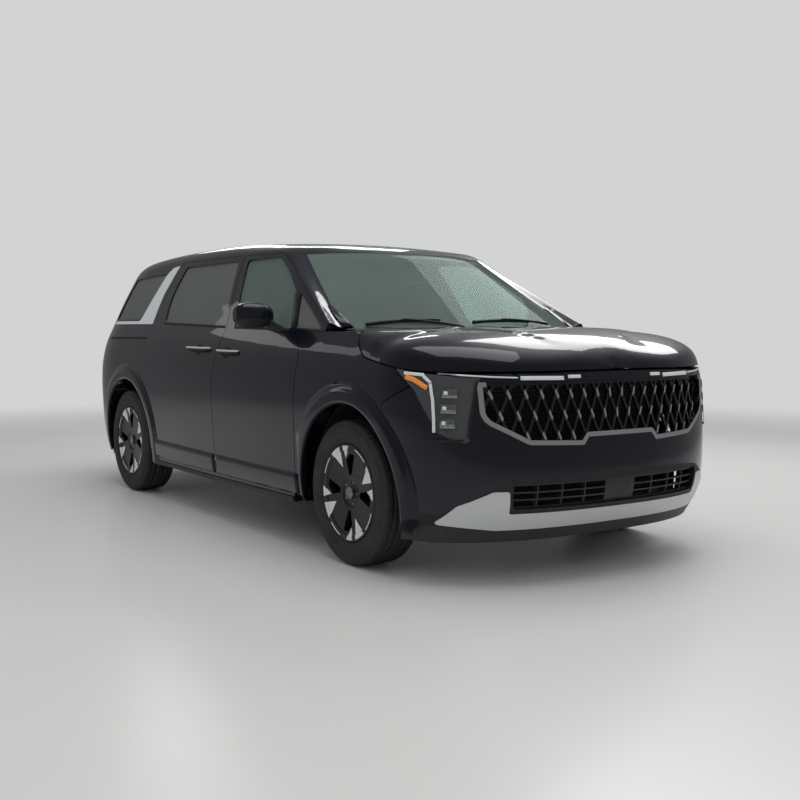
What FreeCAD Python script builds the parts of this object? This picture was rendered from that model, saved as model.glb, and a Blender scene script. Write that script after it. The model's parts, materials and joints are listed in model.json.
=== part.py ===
import FreeCAD, Part
import math
import os
import Sketcher
from FreeCAD import Vector

# A full-size minivan. X runs forward, Y to the vehicle's left, Z up, and the origin lies on the floor
# below the middle of the bounding box. All lengths are millimetres.
doc = FreeCAD.newDocument("minivan")
sheet = doc.addObject("Spreadsheet::Sheet", "sizes")

SIZES = (
    ("length", 5155), ("width", 1994), ("height", 1755),
    ("wheelbase", 3090), ("front_overhang", 950), ("track", 1726),
    ("tyre_radius", 369.5), ("tyre_width", 236), ("tyre_bore", 226), ("tread_width", 196),
    ("rim_radius", 247), ("rim_width", 208), ("rim_wall", 9), ("rim_face", 42),
    ("hub_radius", 76), ("stud_circle", 57.15), ("stud_radius", 9), ("stud_count", 5), ("window_count", 4),
    ("disc_radius", 160), ("disc_thick", 26), ("disc_place", -10),
    ("arch_radius", 452), ("arch_lip", 45), ("well_radius", 468), ("well_wall", 12), ("well_inner", 512),
    ("panel_gap", 5), ("seat_gap", 0.3),
    ("skin_flange", 45), ("frame_flange", 26), ("flange_room", 7),
    ("wall_depth", 115), ("frame_depth", 60), ("jamb_inset", 70), ("jamb_gap", 18),
    ("sill_height", 245), ("door_bottom", 292), ("belt_height", 1200), ("door_top", 1656),
    ("rail_drop", 72), ("rail_width", 112),
    ("glass_thick", 6), ("glass_inset", 9),
    ("bumper_thick", 28), ("roof_thick", 45), ("hood_thick", 24), ("tail_depth", 60),
    ("floor_height", 330), ("floor_thick", 60), ("firewall_thick", 40),
    ("king_inset", 63), ("steering_radius", 184), ("steering_grip", 14),
)
for row, (name, value) in enumerate(SIZES, start=1):
    sheet.set("A%d" % row, name)
    sheet.set("B%d" % row, str(value))
    sheet.setAlias("B%d" % row, name)
doc.recompute()


def size(name):
    return float(sheet.get(name))


HALF_WIDTH = size("width") / 2
NOSE = size("length") / 2
TAIL = -NOSE
FRONT_AXLE = NOSE - size("front_overhang")
REAR_AXLE = FRONT_AXLE - size("wheelbase")
TRACK = size("track") / 2
HUB = size("tyre_radius")
HEIGHT = size("height")
BELT = size("belt_height")
SILL = size("sill_height")
DOOR_BOTTOM = size("door_bottom")
DOOR_TOP = size("door_top")
GAP = size("panel_gap")
SEAT = size("seat_gap")
FLANGE = size("skin_flange")
FRAME_FLANGE = size("frame_flange")
ROOM = size("flange_room")
WALL = size("wall_depth")
FRAME = size("frame_depth")
TAIL_DEPTH = size("tail_depth")
BUMPER = size("bumper_thick")
HOOD_THICK = size("hood_thick")
ROOF_THICK = size("roof_thick")
GLASS = size("glass_thick")
GLASS_INSET = size("glass_inset")
ARCH = size("arch_radius")
FLOOR = size("floor_height")


def curve(points, value):
    """Smooth curve through (t, value) pairs, with the slope of a Catmull-Rom spline at each point."""
    if value <= points[0][0]:
        slope = (points[1][1] - points[0][1]) / (points[1][0] - points[0][0])
        return points[0][1] + slope * (value - points[0][0])
    if value >= points[-1][0]:
        slope = (points[-1][1] - points[-2][1]) / (points[-1][0] - points[-2][0])
        return points[-1][1] + slope * (value - points[-1][0])
    place = next(i for i in range(len(points) - 1) if value <= points[i + 1][0])

    def slope_at(i):
        before, after = max(i - 1, 0), min(i + 1, len(points) - 1)
        return (points[after][1] - points[before][1]) / (points[after][0] - points[before][0])

    (t0, v0), (t1, v1) = points[place], points[place + 1]
    span = t1 - t0
    s = (value - t0) / span
    m0, m1 = slope_at(place) * span, slope_at(place + 1) * span
    return ((2 * s**3 - 3 * s**2 + 1) * v0 + (s**3 - 2 * s**2 + s) * m0
            + (3 * s**2 - 2 * s**3) * v1 + (s**3 - s**2) * m1)


def step(value, low, high):
    """0 below low, 1 above high, and a smooth S between."""
    s = min(1.0, max(0.0, (value - low) / (high - low)))
    return s * s * (3 - 2 * s)


def mix(a, b, share):
    return a + (b - a) * share


def spread(low, high, count):
    return [mix(low, high, i / (count - 1)) for i in range(count)]


# The body side: how far the skin stands in from the widest line at each height.
SIDE_INSET = (
    (150, 62), (SILL, 40), (330, 27), (440, 18), (640, 6), (800, 0), (940, 7),
    (1060, 31), (1130, 54), (BELT, 84), (1400, 166), (1652, 282), (HEIGHT, 336),
)
SIDE_BOW = 5
BOW_LENGTH = 1900
# The nose and the tail in side view: how far the centre line stands back from each end.
NOSE_BACK = (
    (150, 175), (200, 135), (250, 95), (310, 52), (380, 16), (450, 2), (520, 0), (600, 4), (700, 14),
    (820, 28), (940, 42), (1040, 64), (1120, 90),
)
TAIL_BACK = (
    (150, 190), (220, 110), (300, 50), (400, 10), (480, 0), (620, 2), (900, 14), (1080, 34),
    (1200, 62), (1400, 118), (1600, 192), (1700, 238),
)
NOSE_ROUND = 680
NOSE_POWER = 2.55
TAIL_ROUND = 880
TAIL_POWER = 2.9
NOSE_START = NOSE - NOSE_ROUND


def half_width(z):
    return HALF_WIDTH - curve(SIDE_INSET, z)


def nose_x(z):
    return NOSE - curve(NOSE_BACK, z)


def tail_x(z):
    return TAIL + curve(TAIL_BACK, z)


def side_y(x, z):
    """Distance of the skin from the middle plane, at a station x and a height z."""
    y = half_width(z) - SIDE_BOW * (x / BOW_LENGTH) ** 2
    if x > NOSE_START:
        share = min(1.0, (x - NOSE_START) / (nose_x(z) - NOSE_START))
        y *= (1 - share**NOSE_POWER) ** (1 / NOSE_POWER)
    end = tail_x(z) + TAIL_ROUND
    if x < end:
        share = min(1.0, (end - x) / TAIL_ROUND)
        y *= (1 - share**TAIL_POWER) ** (1 / TAIL_POWER)
    return y


def nose_point(turn, z):
    """Point on the rounded nose at height z; turn 90 is the right-hand start of the rounding, 0 the tip."""
    reach = nose_x(z) - NOSE_START
    wide = half_width(z) - SIDE_BOW * (NOSE_START / BOW_LENGTH) ** 2
    c, s = math.cos(math.radians(turn)), math.sin(math.radians(turn))
    r = ((abs(c) / reach) ** NOSE_POWER + (abs(s) / wide) ** NOSE_POWER) ** (-1 / NOSE_POWER)
    return Vector(NOSE_START + r * c, -r * s, z)


def tail_point(turn, z):
    """The same for the rounded tail."""
    start = tail_x(z) + TAIL_ROUND
    wide = half_width(z) - SIDE_BOW * (start / BOW_LENGTH) ** 2
    c, s = math.cos(math.radians(turn)), math.sin(math.radians(turn))
    r = ((abs(c) / TAIL_ROUND) ** TAIL_POWER + (abs(s) / wide) ** TAIL_POWER) ** (-1 / TAIL_POWER)
    return Vector(start - r * c, -r * s, z)


# The roof and the windscreen as one upper surface.
SCREEN_BASE = FRONT_AXLE - 97
SCREEN_FOOT = 1190
SCREEN_RUN = 1.645
ROOF_LINE = (
    (TAIL + 130, HEIGHT - 128), (TAIL + 340, HEIGHT - 94), (TAIL + 760, HEIGHT - 46), (TAIL + 1300, HEIGHT - 13),
    (TAIL + 1900, HEIGHT), (TAIL + 2400, HEIGHT - 3), (FRONT_AXLE - 1430, HEIGHT - 20),
    (FRONT_AXLE - 1130, HEIGHT - 52), (FRONT_AXLE - 860, HEIGHT - 100),
)
ROOF_CROWN = 30
ROOF_HALF = 700
SCREEN_TOP = FRONT_AXLE - 1000
PILLAR_START = FRONT_AXLE - 1150


def screen_z(x, y):
    share = min(1.0, max(0.0, (SCREEN_BASE - x) / 830))
    bow = mix(2.2e-4, 4.5e-4, share) * y * y
    return SCREEN_FOOT + (SCREEN_BASE - x - bow) / SCREEN_RUN


def roof_z(x, y):
    return curve(ROOF_LINE, x) - ROOF_CROWN * (y / ROOF_HALF) ** 2


def top_z(x, y):
    """The lower of roof and windscreen, with the corner between them rounded off."""
    if x < 0:
        return roof_z(x, y)
    a, b = roof_z(x, y), screen_z(x, y)
    soft = 30.0
    blend = max(0.0, 1 - abs(a - b) / soft)
    return min(a, b) - soft * blend * blend / 4


PILLAR_LINE = (
    (PILLAR_START - 260, DOOR_TOP - 4), (PILLAR_START, DOOR_TOP - 18), (PILLAR_START + 200, 1548),
    (PILLAR_START + 824, 1226), (PILLAR_START + 920, 1180),
)


def rail_foot(x, y):
    """Height at which the side turns over into the roof rail or the screen pillar."""
    if x > PILLAR_START - 260:
        return curve(PILLAR_LINE, x)
    return mix(roof_z(x, y) - size("rail_drop"), DOOR_TOP - 4, step(x, -400, PILLAR_START - 260))


SCREEN_SIDE = (598, 0.2537)


def rail_top(x):
    """Half width at which the rail meets the roof or the windscreen, ahead of the tail."""
    foot = side_y(x, rail_foot(x, ROOF_HALF)) - size("rail_width")
    return mix(foot, SCREEN_SIDE[0] + (x - PILLAR_START) * SCREEN_SIDE[1], step(x, PILLAR_START - 150, PILLAR_START + 170))


def shell_point(station, s):
    """Point of the body's outer skin. s from 0 to 1 climbs the wall, from 1 to 2 turns over to the roof.

    A station is ("x", x) along the right-hand side or ("turn", angle) round the tail.
    """
    kind, place = station

    def wall(z):
        if kind == "x":
            return Vector(place, -side_y(place, z), z)
        return tail_point(place, z)

    top = 1600.0
    for _ in range(4):
        foot = wall(top)
        top = rail_foot(foot.x, abs(foot.y))
    if s <= 1:
        return wall(mix(SILL, top, s))
    a = wall(top)
    if kind == "x":
        b = Vector(place, -rail_top(place), 0)
    else:
        ahead, behind = tail_point(place - 0.5, top), tail_point(place + 0.5, top)
        run = (behind - ahead).normalize()
        b = a + Vector(-run.y, run.x, 0) * (-size("rail_width"))
        if (b - Vector(0, 0, b.z)).Length > (a - Vector(0, 0, a.z)).Length:
            b = a - Vector(-run.y, run.x, 0) * (-size("rail_width"))
    b.z = top_z(b.x, b.y)
    near = a * 0.02 + b * 0.98
    near.z = top_z(near.x, near.y)
    rise = (a - wall(top - 20)).normalize()
    over = (b - near).normalize()
    reach = (b - a).Length
    u = s - 1
    return (a * (2 * u**3 - 3 * u**2 + 1) + rise * reach * (u**3 - 2 * u**2 + u)
            + b * (3 * u**2 - 2 * u**3) + over * reach * (u**3 - u**2))


# The hood and the tops of the front wings: arches across the nose, each from the shoulder to the middle.
SHOULDER = 1000
HOOD_LINE = (
    (FRONT_AXLE - 400, 1206), (FRONT_AXLE - 30, 1200), (FRONT_AXLE + 250, 1192), (FRONT_AXLE + 560, 1170),
    (FRONT_AXLE + 760, 1128), (FRONT_AXLE + 850, 1066), (FRONT_AXLE + 896, 1003),
)
HOOD_BACK = FRONT_AXLE - 430


def hood_point(station, s):
    """Point of the hood surface: s from 0 at the shoulder to 1 on the middle line of the vehicle."""
    kind, place = station
    if kind == "x":
        middle = mix(place, place + 60, step(place, FRONT_AXLE - 400, NOSE_START))
        power = mix(12, 4.5, step(place, FRONT_AXLE - 100, NOSE_START + 60))
    else:
        share = (90 - place) / 90
        middle = mix(NOSE_START + 60, nose_x(SHOULDER), share)
        power = mix(4.5, 2.2, step(share, 0, 0.6))

    def edge(z):
        if kind == "x":
            return Vector(place, -side_y(place, z), z)
        return nose_point(place, z)

    a = edge(SHOULDER)
    crest = curve(HOOD_LINE, middle) - SHOULDER
    reach = math.hypot(a.x - middle, a.y)
    arc = [(math.pi / 2) * i / 160 for i in range(161)]
    run = [(1 - math.cos(t) ** (2 / power), math.sin(t) ** (2 / power)) for t in arc]
    length = [0.0]
    for (p0, q0), (p1, q1) in zip(run, run[1:]):
        length.append(length[-1] + math.hypot((p1 - p0) * reach, (q1 - q0) * crest))
    want = s**1.5 * length[-1]
    i = next((k for k in range(160) if length[k + 1] >= want), 159)
    part = min(1.0, (want - length[i]) / (length[i + 1] - length[i]))
    inward, rise = mix(run[i][0], run[i + 1][0], part), mix(run[i][1], run[i + 1][1], part)
    a = edge(SHOULDER + crest * rise)
    return Vector(mix(middle, a.x, (1 - inward) ** 2), a.y * (1 - inward), a.z)


# The raised middle of the hood ends at a crease on each side, nearer the middle towards the nose.
DOME = 9
DOME_EDGE = ((FRONT_AXLE + 50, 450), (FRONT_AXLE + 300, 400), (FRONT_AXLE + 560, 320), (FRONT_AXLE + 800, 225))
DOME_START = FRONT_AXLE + 20
DOME_END = FRONT_AXLE + 640


def arch_point(station, s):
    """The same over the whole width, with the dome: s from 0 at one shoulder to 2 at the other."""
    spot = hood_point(station, min(s, 2 - s))
    edge = curve(DOME_EDGE, min(max(spot.x, DOME_EDGE[0][0]), DOME_EDGE[-1][0]))
    fade = step(spot.x, DOME_START, DOME_START + 200) * (1 - step(spot.x, DOME_END, DOME_END + 150))
    lift = DOME * fade * (1 - step(abs(spot.y), edge - 6, edge + 22))
    return Vector(spot.x, spot.y if s <= 1 else -spot.y, spot.z + lift)


def through(points, places):
    """Poles of the smooth curve that passes the points at the given parameters."""
    line = Part.BSplineCurve()
    line.interpolate(Points=points, Parameters=places)
    return line.getPoles()


def chords(rows):
    """Parameters for one direction of a grid: the mean run along it, from 0 to 1."""
    total = [0.0]
    for i in range(len(rows[0]) - 1):
        total.append(total[-1] + sum((row[i + 1] - row[i]).Length for row in rows))
    return [t / total[-1] for t in total]


def smooth_face(net, us, vs):
    surface = Part.BSplineSurface()
    surface.buildFromPolesMultsKnots(
        net, [4] + [1] * (len(us) - 2) + [4], [4] + [1] * (len(vs) - 2) + [4], us, vs, False, False, 3, 3)
    return surface.toShape()


def edge_face(first, second, places):
    surface = Part.BSplineSurface()
    surface.buildFromPolesMultsKnots(
        [first, second], [2, 2], [4] + [1] * (len(places) - 2) + [4], [0.0, 1.0], places, False, False, 1, 3)
    return surface.toShape()


def patch(point, stations, shares, outside, inside):
    """Closed solid that follows the surface point(station, share) between two depths below it."""
    rows, columns = len(stations), len(shares)
    grid = [[point(q, s) for s in shares] for q in stations]

    def normal(i, j):
        across = grid[min(i + 1, rows - 1)][j] - grid[max(i - 1, 0)][j]
        along = grid[i][min(j + 1, columns - 1)] - grid[i][max(j - 1, 0)]
        return across.cross(along).normalize()

    way = [[normal(i, j) for j in range(columns)] for i in range(rows)]
    i, j = rows // 2, columns // 3
    probe = grid[i][j]
    sign = 1 if way[i][j].dot(probe - Vector(probe.x * 0.6, 0, min(probe.z, 700))) > 0 else -1

    def depth(amount, i, j):
        return amount(stations[i], shares[j]) if callable(amount) else amount

    us, vs = chords([list(column) for column in zip(*grid)]), chords(grid)
    nets = []
    for amount in (outside, inside):
        layer = [[grid[i][j] - way[i][j] * sign * depth(amount, i, j) for j in range(columns)]
                 for i in range(rows)]
        lines = [through(row, vs) for row in layer]
        net = [through([line[j] for line in lines], us) for j in range(columns + 2)]
        nets.append([list(row) for row in zip(*net)])
    top, low = nets
    faces = [smooth_face(top, us, vs), smooth_face(low, us, vs)]
    for end in (0, -1):
        faces.append(edge_face(top[end], low[end], vs))
        faces.append(edge_face([row[end] for row in top], [row[end] for row in low], us))
    shell = Part.makeShell(faces)
    shell.sewShape()
    solid = Part.Solid(shell if shell.ShapeType == "Shell" else shell.Shells[0])
    if solid.Volume < 0:
        solid.reverse()
    if not solid.isValid() or not solid.Shells[0].isClosed() or solid.Volume <= 0:
        print("warning: a patch is not a valid solid", solid.isValid(), solid.Volume)
    return solid


def rounded(points, radii):
    """Closed wire in the XY plane with its corners rounded by arcs."""
    count = len(points)
    edges, ends = [], []
    for i in range(count):
        here = Vector(points[i][0], points[i][1], 0)
        before = Vector(points[i - 1][0], points[i - 1][1], 0)
        after = Vector(points[(i + 1) % count][0], points[(i + 1) % count][1], 0)
        radius = radii[i] if isinstance(radii, (list, tuple)) else radii
        back, ahead = (before - here).normalize(), (after - here).normalize()
        turn = back.getAngle(ahead)
        if radius < 0.01 or abs(turn - math.pi) < 0.01:
            ends.append((here, here, None))
            continue
        run = min(radius / math.tan(turn / 2), 0.49 * (before - here).Length, 0.49 * (after - here).Length)
        radius = run * math.tan(turn / 2)
        middle = (back + ahead).normalize()
        tip = here + middle * (radius / math.sin(turn / 2) - radius)
        ends.append((here + back * run, here + ahead * run, tip))
    for i in range(count):
        first, last, tip = ends[i]
        if tip is not None:
            edges.append(Part.Arc(first, tip, last).toShape())
        start = ends[(i + 1) % count][0]
        if (start - last).Length > 1e-4:
            edges.append(Part.LineSegment(last, start).toShape())
    return Part.Wire(edges)


def grown(points, radii, amount):
    """The same closed wire moved outward (or inward, if negative) by an amount."""
    wire = rounded(points, radii)
    if abs(amount) < 1e-6:
        return wire
    return wire.makeOffset2D(amount)


def prism(points, plane, low, high, radii=0, grow=0.0):
    """Straight prism from an outline in the xy, xz or yz plane, between two places along the third axis."""
    wire = grown(points, radii, grow)
    face = Part.Face(wire)
    if plane == "xz":
        face.rotate(Vector(), Vector(1, 0, 0), 90)
        face.translate(Vector(0, high, 0))
        solid = face.extrude(Vector(0, low - high, 0))
    elif plane == "yz":
        face.rotate(Vector(), Vector(1, 1, 1), 120)
        face.translate(Vector(low, 0, 0))
        solid = face.extrude(Vector(high - low, 0, 0))
    else:
        face.translate(Vector(0, 0, low))
        solid = face.extrude(Vector(0, 0, high - low))
    return solid


def block(x0, x1, y0, y1, z0, z1):
    return Part.makeBox(x1 - x0, y1 - y0, z1 - z0, Vector(x0, y0, z0))


def drum(x, z, radius, y0, y1):
    return Part.makeCylinder(radius, y1 - y0, Vector(x, y0, z), Vector(0, 1, 0))


def mirrored(shape):
    return shape.mirror(Vector(), Vector(0, 1, 0))


def solids(shape):
    return [s for s in shape.Solids if s.Volume > 1]


def largest(shape):
    return max(shape.Solids, key=lambda s: s.Volume)


NODES = []


def feature(label, shape):
    """A document object that holds a worked-out shape."""
    parts = solids(shape) if not isinstance(shape, (list, tuple)) else [s for one in shape for s in solids(one)]
    node = doc.addObject("Part::Feature", label)
    node.Label = label
    node.Shape = parts[0] if len(parts) == 1 else Part.makeCompound(parts)
    node.Placement = FreeCAD.Placement()
    NODES.append(node)
    return node


LOW_SHARES = spread(0, 1, 17)
ROLL_SHARES = spread(1, 2, 8)[1:]
SHARES = LOW_SHARES + ROLL_SHARES
SIDE_STATIONS = [("x", x) for x in spread(FRONT_AXLE - 300, REAR_AXLE + 60, 26)]
TAIL_TURNS = (90, 82, 74, 66, 59, 53, 48, 43, 38, 33, 28, 22, 15, 8, 0)
ALL_STATIONS = SIDE_STATIONS + [("turn", turn) for turn in TAIL_TURNS]
BACK_TURNS = TAIL_TURNS[2:] + tuple(-turn for turn in reversed(TAIL_TURNS[2:-1]))
BACK_STATIONS = [("turn", turn) for turn in BACK_TURNS]
DOOR_STATIONS = [("x", x) for x in spread(FRONT_AXLE - 290, REAR_AXLE + 20, 22)]
ROOM_STATIONS = [("x", x) for x in spread(FRONT_AXLE - 180, REAR_AXLE - 40, 24)]
CORNER_STATIONS = SIDE_STATIONS[18:] + [("turn", turn) for turn in TAIL_TURNS[:9]]
DOOR_HEIGHTS = spread(SILL, DOOR_TOP + 14, 20)


def skin_point(station, z):
    """Point of the side or the tail at a height z, without the turn over the rail."""
    kind, place = station
    return Vector(place, -side_y(place, z), z) if kind == "x" else tail_point(place, z)


PILLAR_FLANGE = 14
PILLAR_WALL = 30


def slimness(station, z):
    """1 beside the slim screen pillar, 0 elsewhere."""
    if station[0] != "x":
        return 0.0
    share = (z - SILL) / (rail_foot(station[1], ROOF_HALF) - SILL)
    return step(station[1], PILLAR_START - 250, PILLAR_START + 350) * step(share, 0.8, 0.97)


def skin_depth(station, z):
    """Depth of a door's outer flange: deep below the belt, shallow in the window frame."""
    return mix(mix(FLANGE, FRAME_FLANGE, step(z, BELT - 80, BELT + 60)), PILLAR_FLANGE, slimness(station, z))


def room_depth(station, z):
    return skin_depth(station, z) + ROOM


def wall_depth(station, z):
    """Depth of the whole wall: body side or door."""
    return mix(WALL, FRAME, step(z, BELT - 80, BELT + 60))


def deep_depth(station, z):
    return wall_depth(station, z) + 15


def side_depth(station, s):
    """Depth of the body side, thin where it turns over a slim screen pillar."""
    spot = shell_point(station, s)
    return mix(wall_depth(station, spot.z), PILLAR_WALL, slimness(station, spot.z))


side_wall = patch(shell_point, ALL_STATIONS, SHARES, 0, side_depth)
door_wall = patch(skin_point, DOOR_STATIONS, DOOR_HEIGHTS, 0, wall_depth)
door_deep = patch(skin_point, DOOR_STATIONS, DOOR_HEIGHTS, skin_depth, deep_depth)
door_room = patch(skin_point, ROOM_STATIONS, spread(SILL - 40, DOOR_TOP + 40, 22), -6, room_depth)
glass_skin = patch(skin_point, DOOR_STATIONS, spread(BELT - 60, DOOR_TOP + 10, 9), GLASS_INSET, GLASS_INSET + GLASS)
corner_skin = patch(skin_point, CORNER_STATIONS, spread(BELT - 60, DOOR_TOP + 10, 9), GLASS_INSET,
                    GLASS_INSET + GLASS)

RIGHT = (-1150, -420)
ACROSS = (-1200, 1200)

# Door outlines in side view.
DOOR_FRONT = FRONT_AXLE - 505
SPLIT = ((45, DOOR_BOTTOM), (50, 430), (46, 815), (60, 960), (102, 1190), (-40, DOOR_TOP))
FRONT_DOOR = SPLIT + (
    (505, DOOR_TOP - 14), (700, 1552), (893, 1420), (990, 1176), (1085, 1130), (DOOR_FRONT, 1036),
    (DOOR_FRONT - 37, DOOR_BOTTOM + 24), (DOOR_FRONT - 45, DOOR_BOTTOM),
)
FRONT_DOOR_RADII = (20, 200, 200, 120, 40, 40, 60, 200, 40, 30, 40, 60, 300, 20)
SLIDE_BACK = REAR_AXLE + 258
SLIDE_DOOR = tuple(reversed(SPLIT)) + (
    (SLIDE_BACK, DOOR_BOTTOM), (SLIDE_BACK, 900), (SLIDE_BACK, 1075), (-1150, 1180), (-1035, DOOR_TOP),
)
SLIDE_DOOR_RADII = (40, 40, 120, 200, 200, 20, 20, 60, 60, 60, 60)
FRONT_WINDOW = ((211, 1203), (42, 1620), (479, 1620), (660, 1530), (856, 1398), (944, 1190))
FRONT_WINDOW_RADII = (18, 18, 60, 200, 40, 18)
SLIDE_WINDOW = ((69, 1205), (-93, 1622), (-925, 1617), (-985, 1410), (-930, 1228))
SLIDE_WINDOW_RADII = (18, 18, 30, 300, 30)
QUARTER_WINDOW = ((-1247, 1587), (-1418, 1257), (-2010, 1252), (-1905, 1562))
QUARTER_WINDOW_RADII = (14, 18, 24, 24)
CORNER_WINDOW = ((905, 1398), (992, 1196), (1290, 1190), (1150, 1270))
CORNER_WINDOW_RADII = (10, 12, 8, 30)
FENDER = (
    (DOOR_FRONT - 45, DOOR_BOTTOM), (DOOR_FRONT - 37, DOOR_BOTTOM + 24), (DOOR_FRONT, 1036), (1085, 1130),
    (990, 1176), (1040, 1178), (1400, 1181.5), (1648, 1182), (1700, 1110), (1772, 1055), (1916, 1031),
    (2048, 1011), (2151, 929), (1976, 841), (1950, 700), (1900, DOOR_BOTTOM),
)
FENDER_RADII = (20, 300, 60, 40, 10, 10, 10, 30, 60, 120, 100, 4, 8, 30, 60, 10)


WING_BACK = ((1060, 150), (1700, 150), (1700, 1183), (1040, 1178.5), (995, 1174.5), (1060, 1100))


def pair(shape):
    return [shape, mirrored(shape)]


def side_prism(points, radii, grow=0.0):
    return prism(points, "xz", RIGHT[0], RIGHT[1], radii, grow)


front_arch = drum(FRONT_AXLE, HUB, ARCH, RIGHT[0], RIGHT[1])
rear_arch = drum(REAR_AXLE, HUB, ARCH, RIGHT[0], RIGHT[1])
rear_lip = drum(REAR_AXLE, HUB, ARCH + size("arch_lip"), RIGHT[0], RIGHT[1])


def make_door(outline, radii, window, window_radii):
    panel = door_wall.common(side_prism(outline, radii, -GAP / 2))
    core = side_prism(outline, radii, -size("jamb_inset")).common(block(-1500, 1500, -1150, -420, 0, BELT - 35))
    ring = door_deep.common(side_prism(outline, radii, 15)).cut(core)
    panel = panel.cut(ring)
    return panel.cut(side_prism(window, window_radii))


front_door = make_door(FRONT_DOOR, FRONT_DOOR_RADII, FRONT_WINDOW, FRONT_WINDOW_RADII)
slide_door = make_door(SLIDE_DOOR, SLIDE_DOOR_RADII, SLIDE_WINDOW, SLIDE_WINDOW_RADII)
slide_door = slide_door.cut(drum(REAR_AXLE, HUB, ARCH + size("arch_lip") + GAP / 2, *RIGHT))
slide_door = largest(slide_door)
front_door = largest(front_door)


def pane(window, radii, skin=glass_skin):
    return skin.common(side_prism(window, radii, -SEAT))


# The fixed body side: sill, pillars, rails and the rear quarter.
TAILGATE = (
    (-540, 655), (-700, 730), (-735, 1060), (-722, 1240), (-640, 1500), (-560, 1800),
    (560, 1800), (640, 1500), (722, 1240), (735, 1060), (700, 730), (540, 655),
)
TAILGATE_RADII = (60, 80, 60, 40, 120, 0, 0, 120, 40, 60, 80, 60)
TAIL_SIDE = (TAIL - 50, -1700)
SIDE_END = FRONT_AXLE - 301
DOOR_AXIS = (DOOR_FRONT - 27, HALF_WIDTH - 1)
SWING_ROOM = 80
BUMPER_LINE = 640
body_side = side_wall.cut(block(TAIL - 20, REAR_AXLE, -1150, 20, 0, BUMPER_LINE + SEAT))
body_side = body_side.cut(block(TAIL - 20, -1700, -560, 20, 0, TAILGATE[0][1] + 15))
body_side = body_side.cut(prism(TAILGATE, "yz", TAIL_SIDE[0], TAIL_SIDE[1], TAILGATE_RADII, GAP / 2))
body_side = body_side.cut(block(TAIL - 20, 1700, -20, 20, 0, 2000))
body_side = body_side.cut(rear_arch).cut(drum(FRONT_AXLE, HUB, size("well_radius") + 20, *RIGHT))
slide_region = side_prism(SLIDE_DOOR, SLIDE_DOOR_RADII).cut(rear_lip)
skins = side_prism(FRONT_DOOR, FRONT_DOOR_RADII).fuse(side_prism(WING_BACK, 0)).fuse(slide_region)
body_side = body_side.cut(door_room.common(skins.removeSplitter()))
for outline, radii in ((FRONT_DOOR, FRONT_DOOR_RADII), (SLIDE_DOOR, SLIDE_DOOR_RADII)):
    low = side_prism(outline, radii, size("jamb_gap") - size("jamb_inset"))
    high = side_prism(outline, radii, -34).common(block(-1300, 1100, -1150, -420, BELT - 60, 1700))
    if outline is SLIDE_DOOR:
        low = low.cut(drum(REAR_AXLE, HUB, ARCH + size("arch_lip") + 50, *RIGHT))
    body_side = body_side.cut(low).cut(high)
body_side = body_side.cut(side_prism(QUARTER_WINDOW, QUARTER_WINDOW_RADII))
body_side = body_side.cut(Part.makeCylinder(SWING_ROOM, 850, Vector(DOOR_AXIS[0], -DOOR_AXIS[1], DOOR_BOTTOM + 12)))
body_side = body_side.cut(side_prism(CORNER_WINDOW, CORNER_WINDOW_RADII))
body_side = largest(body_side)

# Bright fins on the pillars behind the sliding doors, with a strip below the quarter windows.
FIN = (
    (-1060, 1634), (-1100, 1537), (-1142, 1430), (-1148, 1339), (-1152, 1222), (-1990, 1222), (-1990, 1243),
    (-1436, 1243), (-1406, 1256), (-1244, 1569), (-1206, 1598), (-1166, 1623),
)
FIN_RADII = (6, 60, 60, 100, 3, 4, 4, 40, 12, 60, 40, 30)
fin_skin = patch(shell_point, ALL_STATIONS, SHARES, -3.3, -SEAT)
fin = largest(fin_skin.common(side_prism(FIN, FIN_RADII)))

# Roof and windscreen, and the line in plan where they meet the rails, pillars and tailgate.


def roof_plan(grow, low=1100, high=1900):
    """Upright prism over roof and windscreen, moved outward by an amount."""
    line = [shell_point(station, 2) for station in ALL_STATIONS]
    line = [Vector(x, -rail_top(x), 0) for x in (1500, 1440, 1385)] + [Vector(spot.x, spot.y, 0) for spot in line]
    line += [Vector(spot.x, -spot.y, 0) for spot in reversed(line[:-1])]
    moved = []
    for i, spot in enumerate(line):
        run = line[min(i + 1, len(line) - 1)] - line[max(i - 1, 0)]
        side = Vector(run.y, -run.x, 0).normalize()
        if side.dot(spot - Vector(400, 0, 0)) < 0:
            side = side * -1
        moved.append(spot + side * grow)
    rail = Part.BSplineCurve()
    rail.interpolate(moved)
    wire = Part.Wire([rail.toShape(), Part.LineSegment(moved[-1], moved[0]).toShape()])
    face = Part.Face(wire)
    face.translate(Vector(0, 0, low))
    return face.extrude(Vector(0, 0, high - low))


body_side = body_side.cut(block(SIDE_END, 1700, -1100, 0, 0, 1900))
body_side = largest(body_side.cut(roof_plan(0.5)))

def screen_head(y):
    return FRONT_AXLE - 860 - 150 * (y / 640) ** 2


def screen_foot(y):
    return FRONT_AXLE - 118 - 150 * (y / 812) ** 2


def roof_point(x, s):
    wide = abs(shell_point(("x", max(x, REAR_AXLE + 60)), 2).y) + 8
    return Vector(x, s * wide, top_z(x, s * wide))


def head_band(back, ahead):
    """Upright slab from the roof's front edge, between two distances along X."""
    wide = 760
    arcs = []
    for run in (back, ahead):
        arcs.append(Part.Arc(Vector(screen_head(wide) + run, -wide, 0), Vector(screen_head(0) + run, 0, 0),
                             Vector(screen_head(wide) + run, wide, 0)).toShape())
    sides = [Part.LineSegment(Vector(screen_head(wide) + back, y, 0), Vector(screen_head(wide) + ahead, y, 0)).toShape()
             for y in (-wide, wide)]
    face = Part.Face(Part.Wire([arcs[0], sides[1], arcs[1], sides[0]]))
    face.translate(Vector(0, 0, 1000))
    return face.extrude(Vector(0, 0, 1000))


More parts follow.
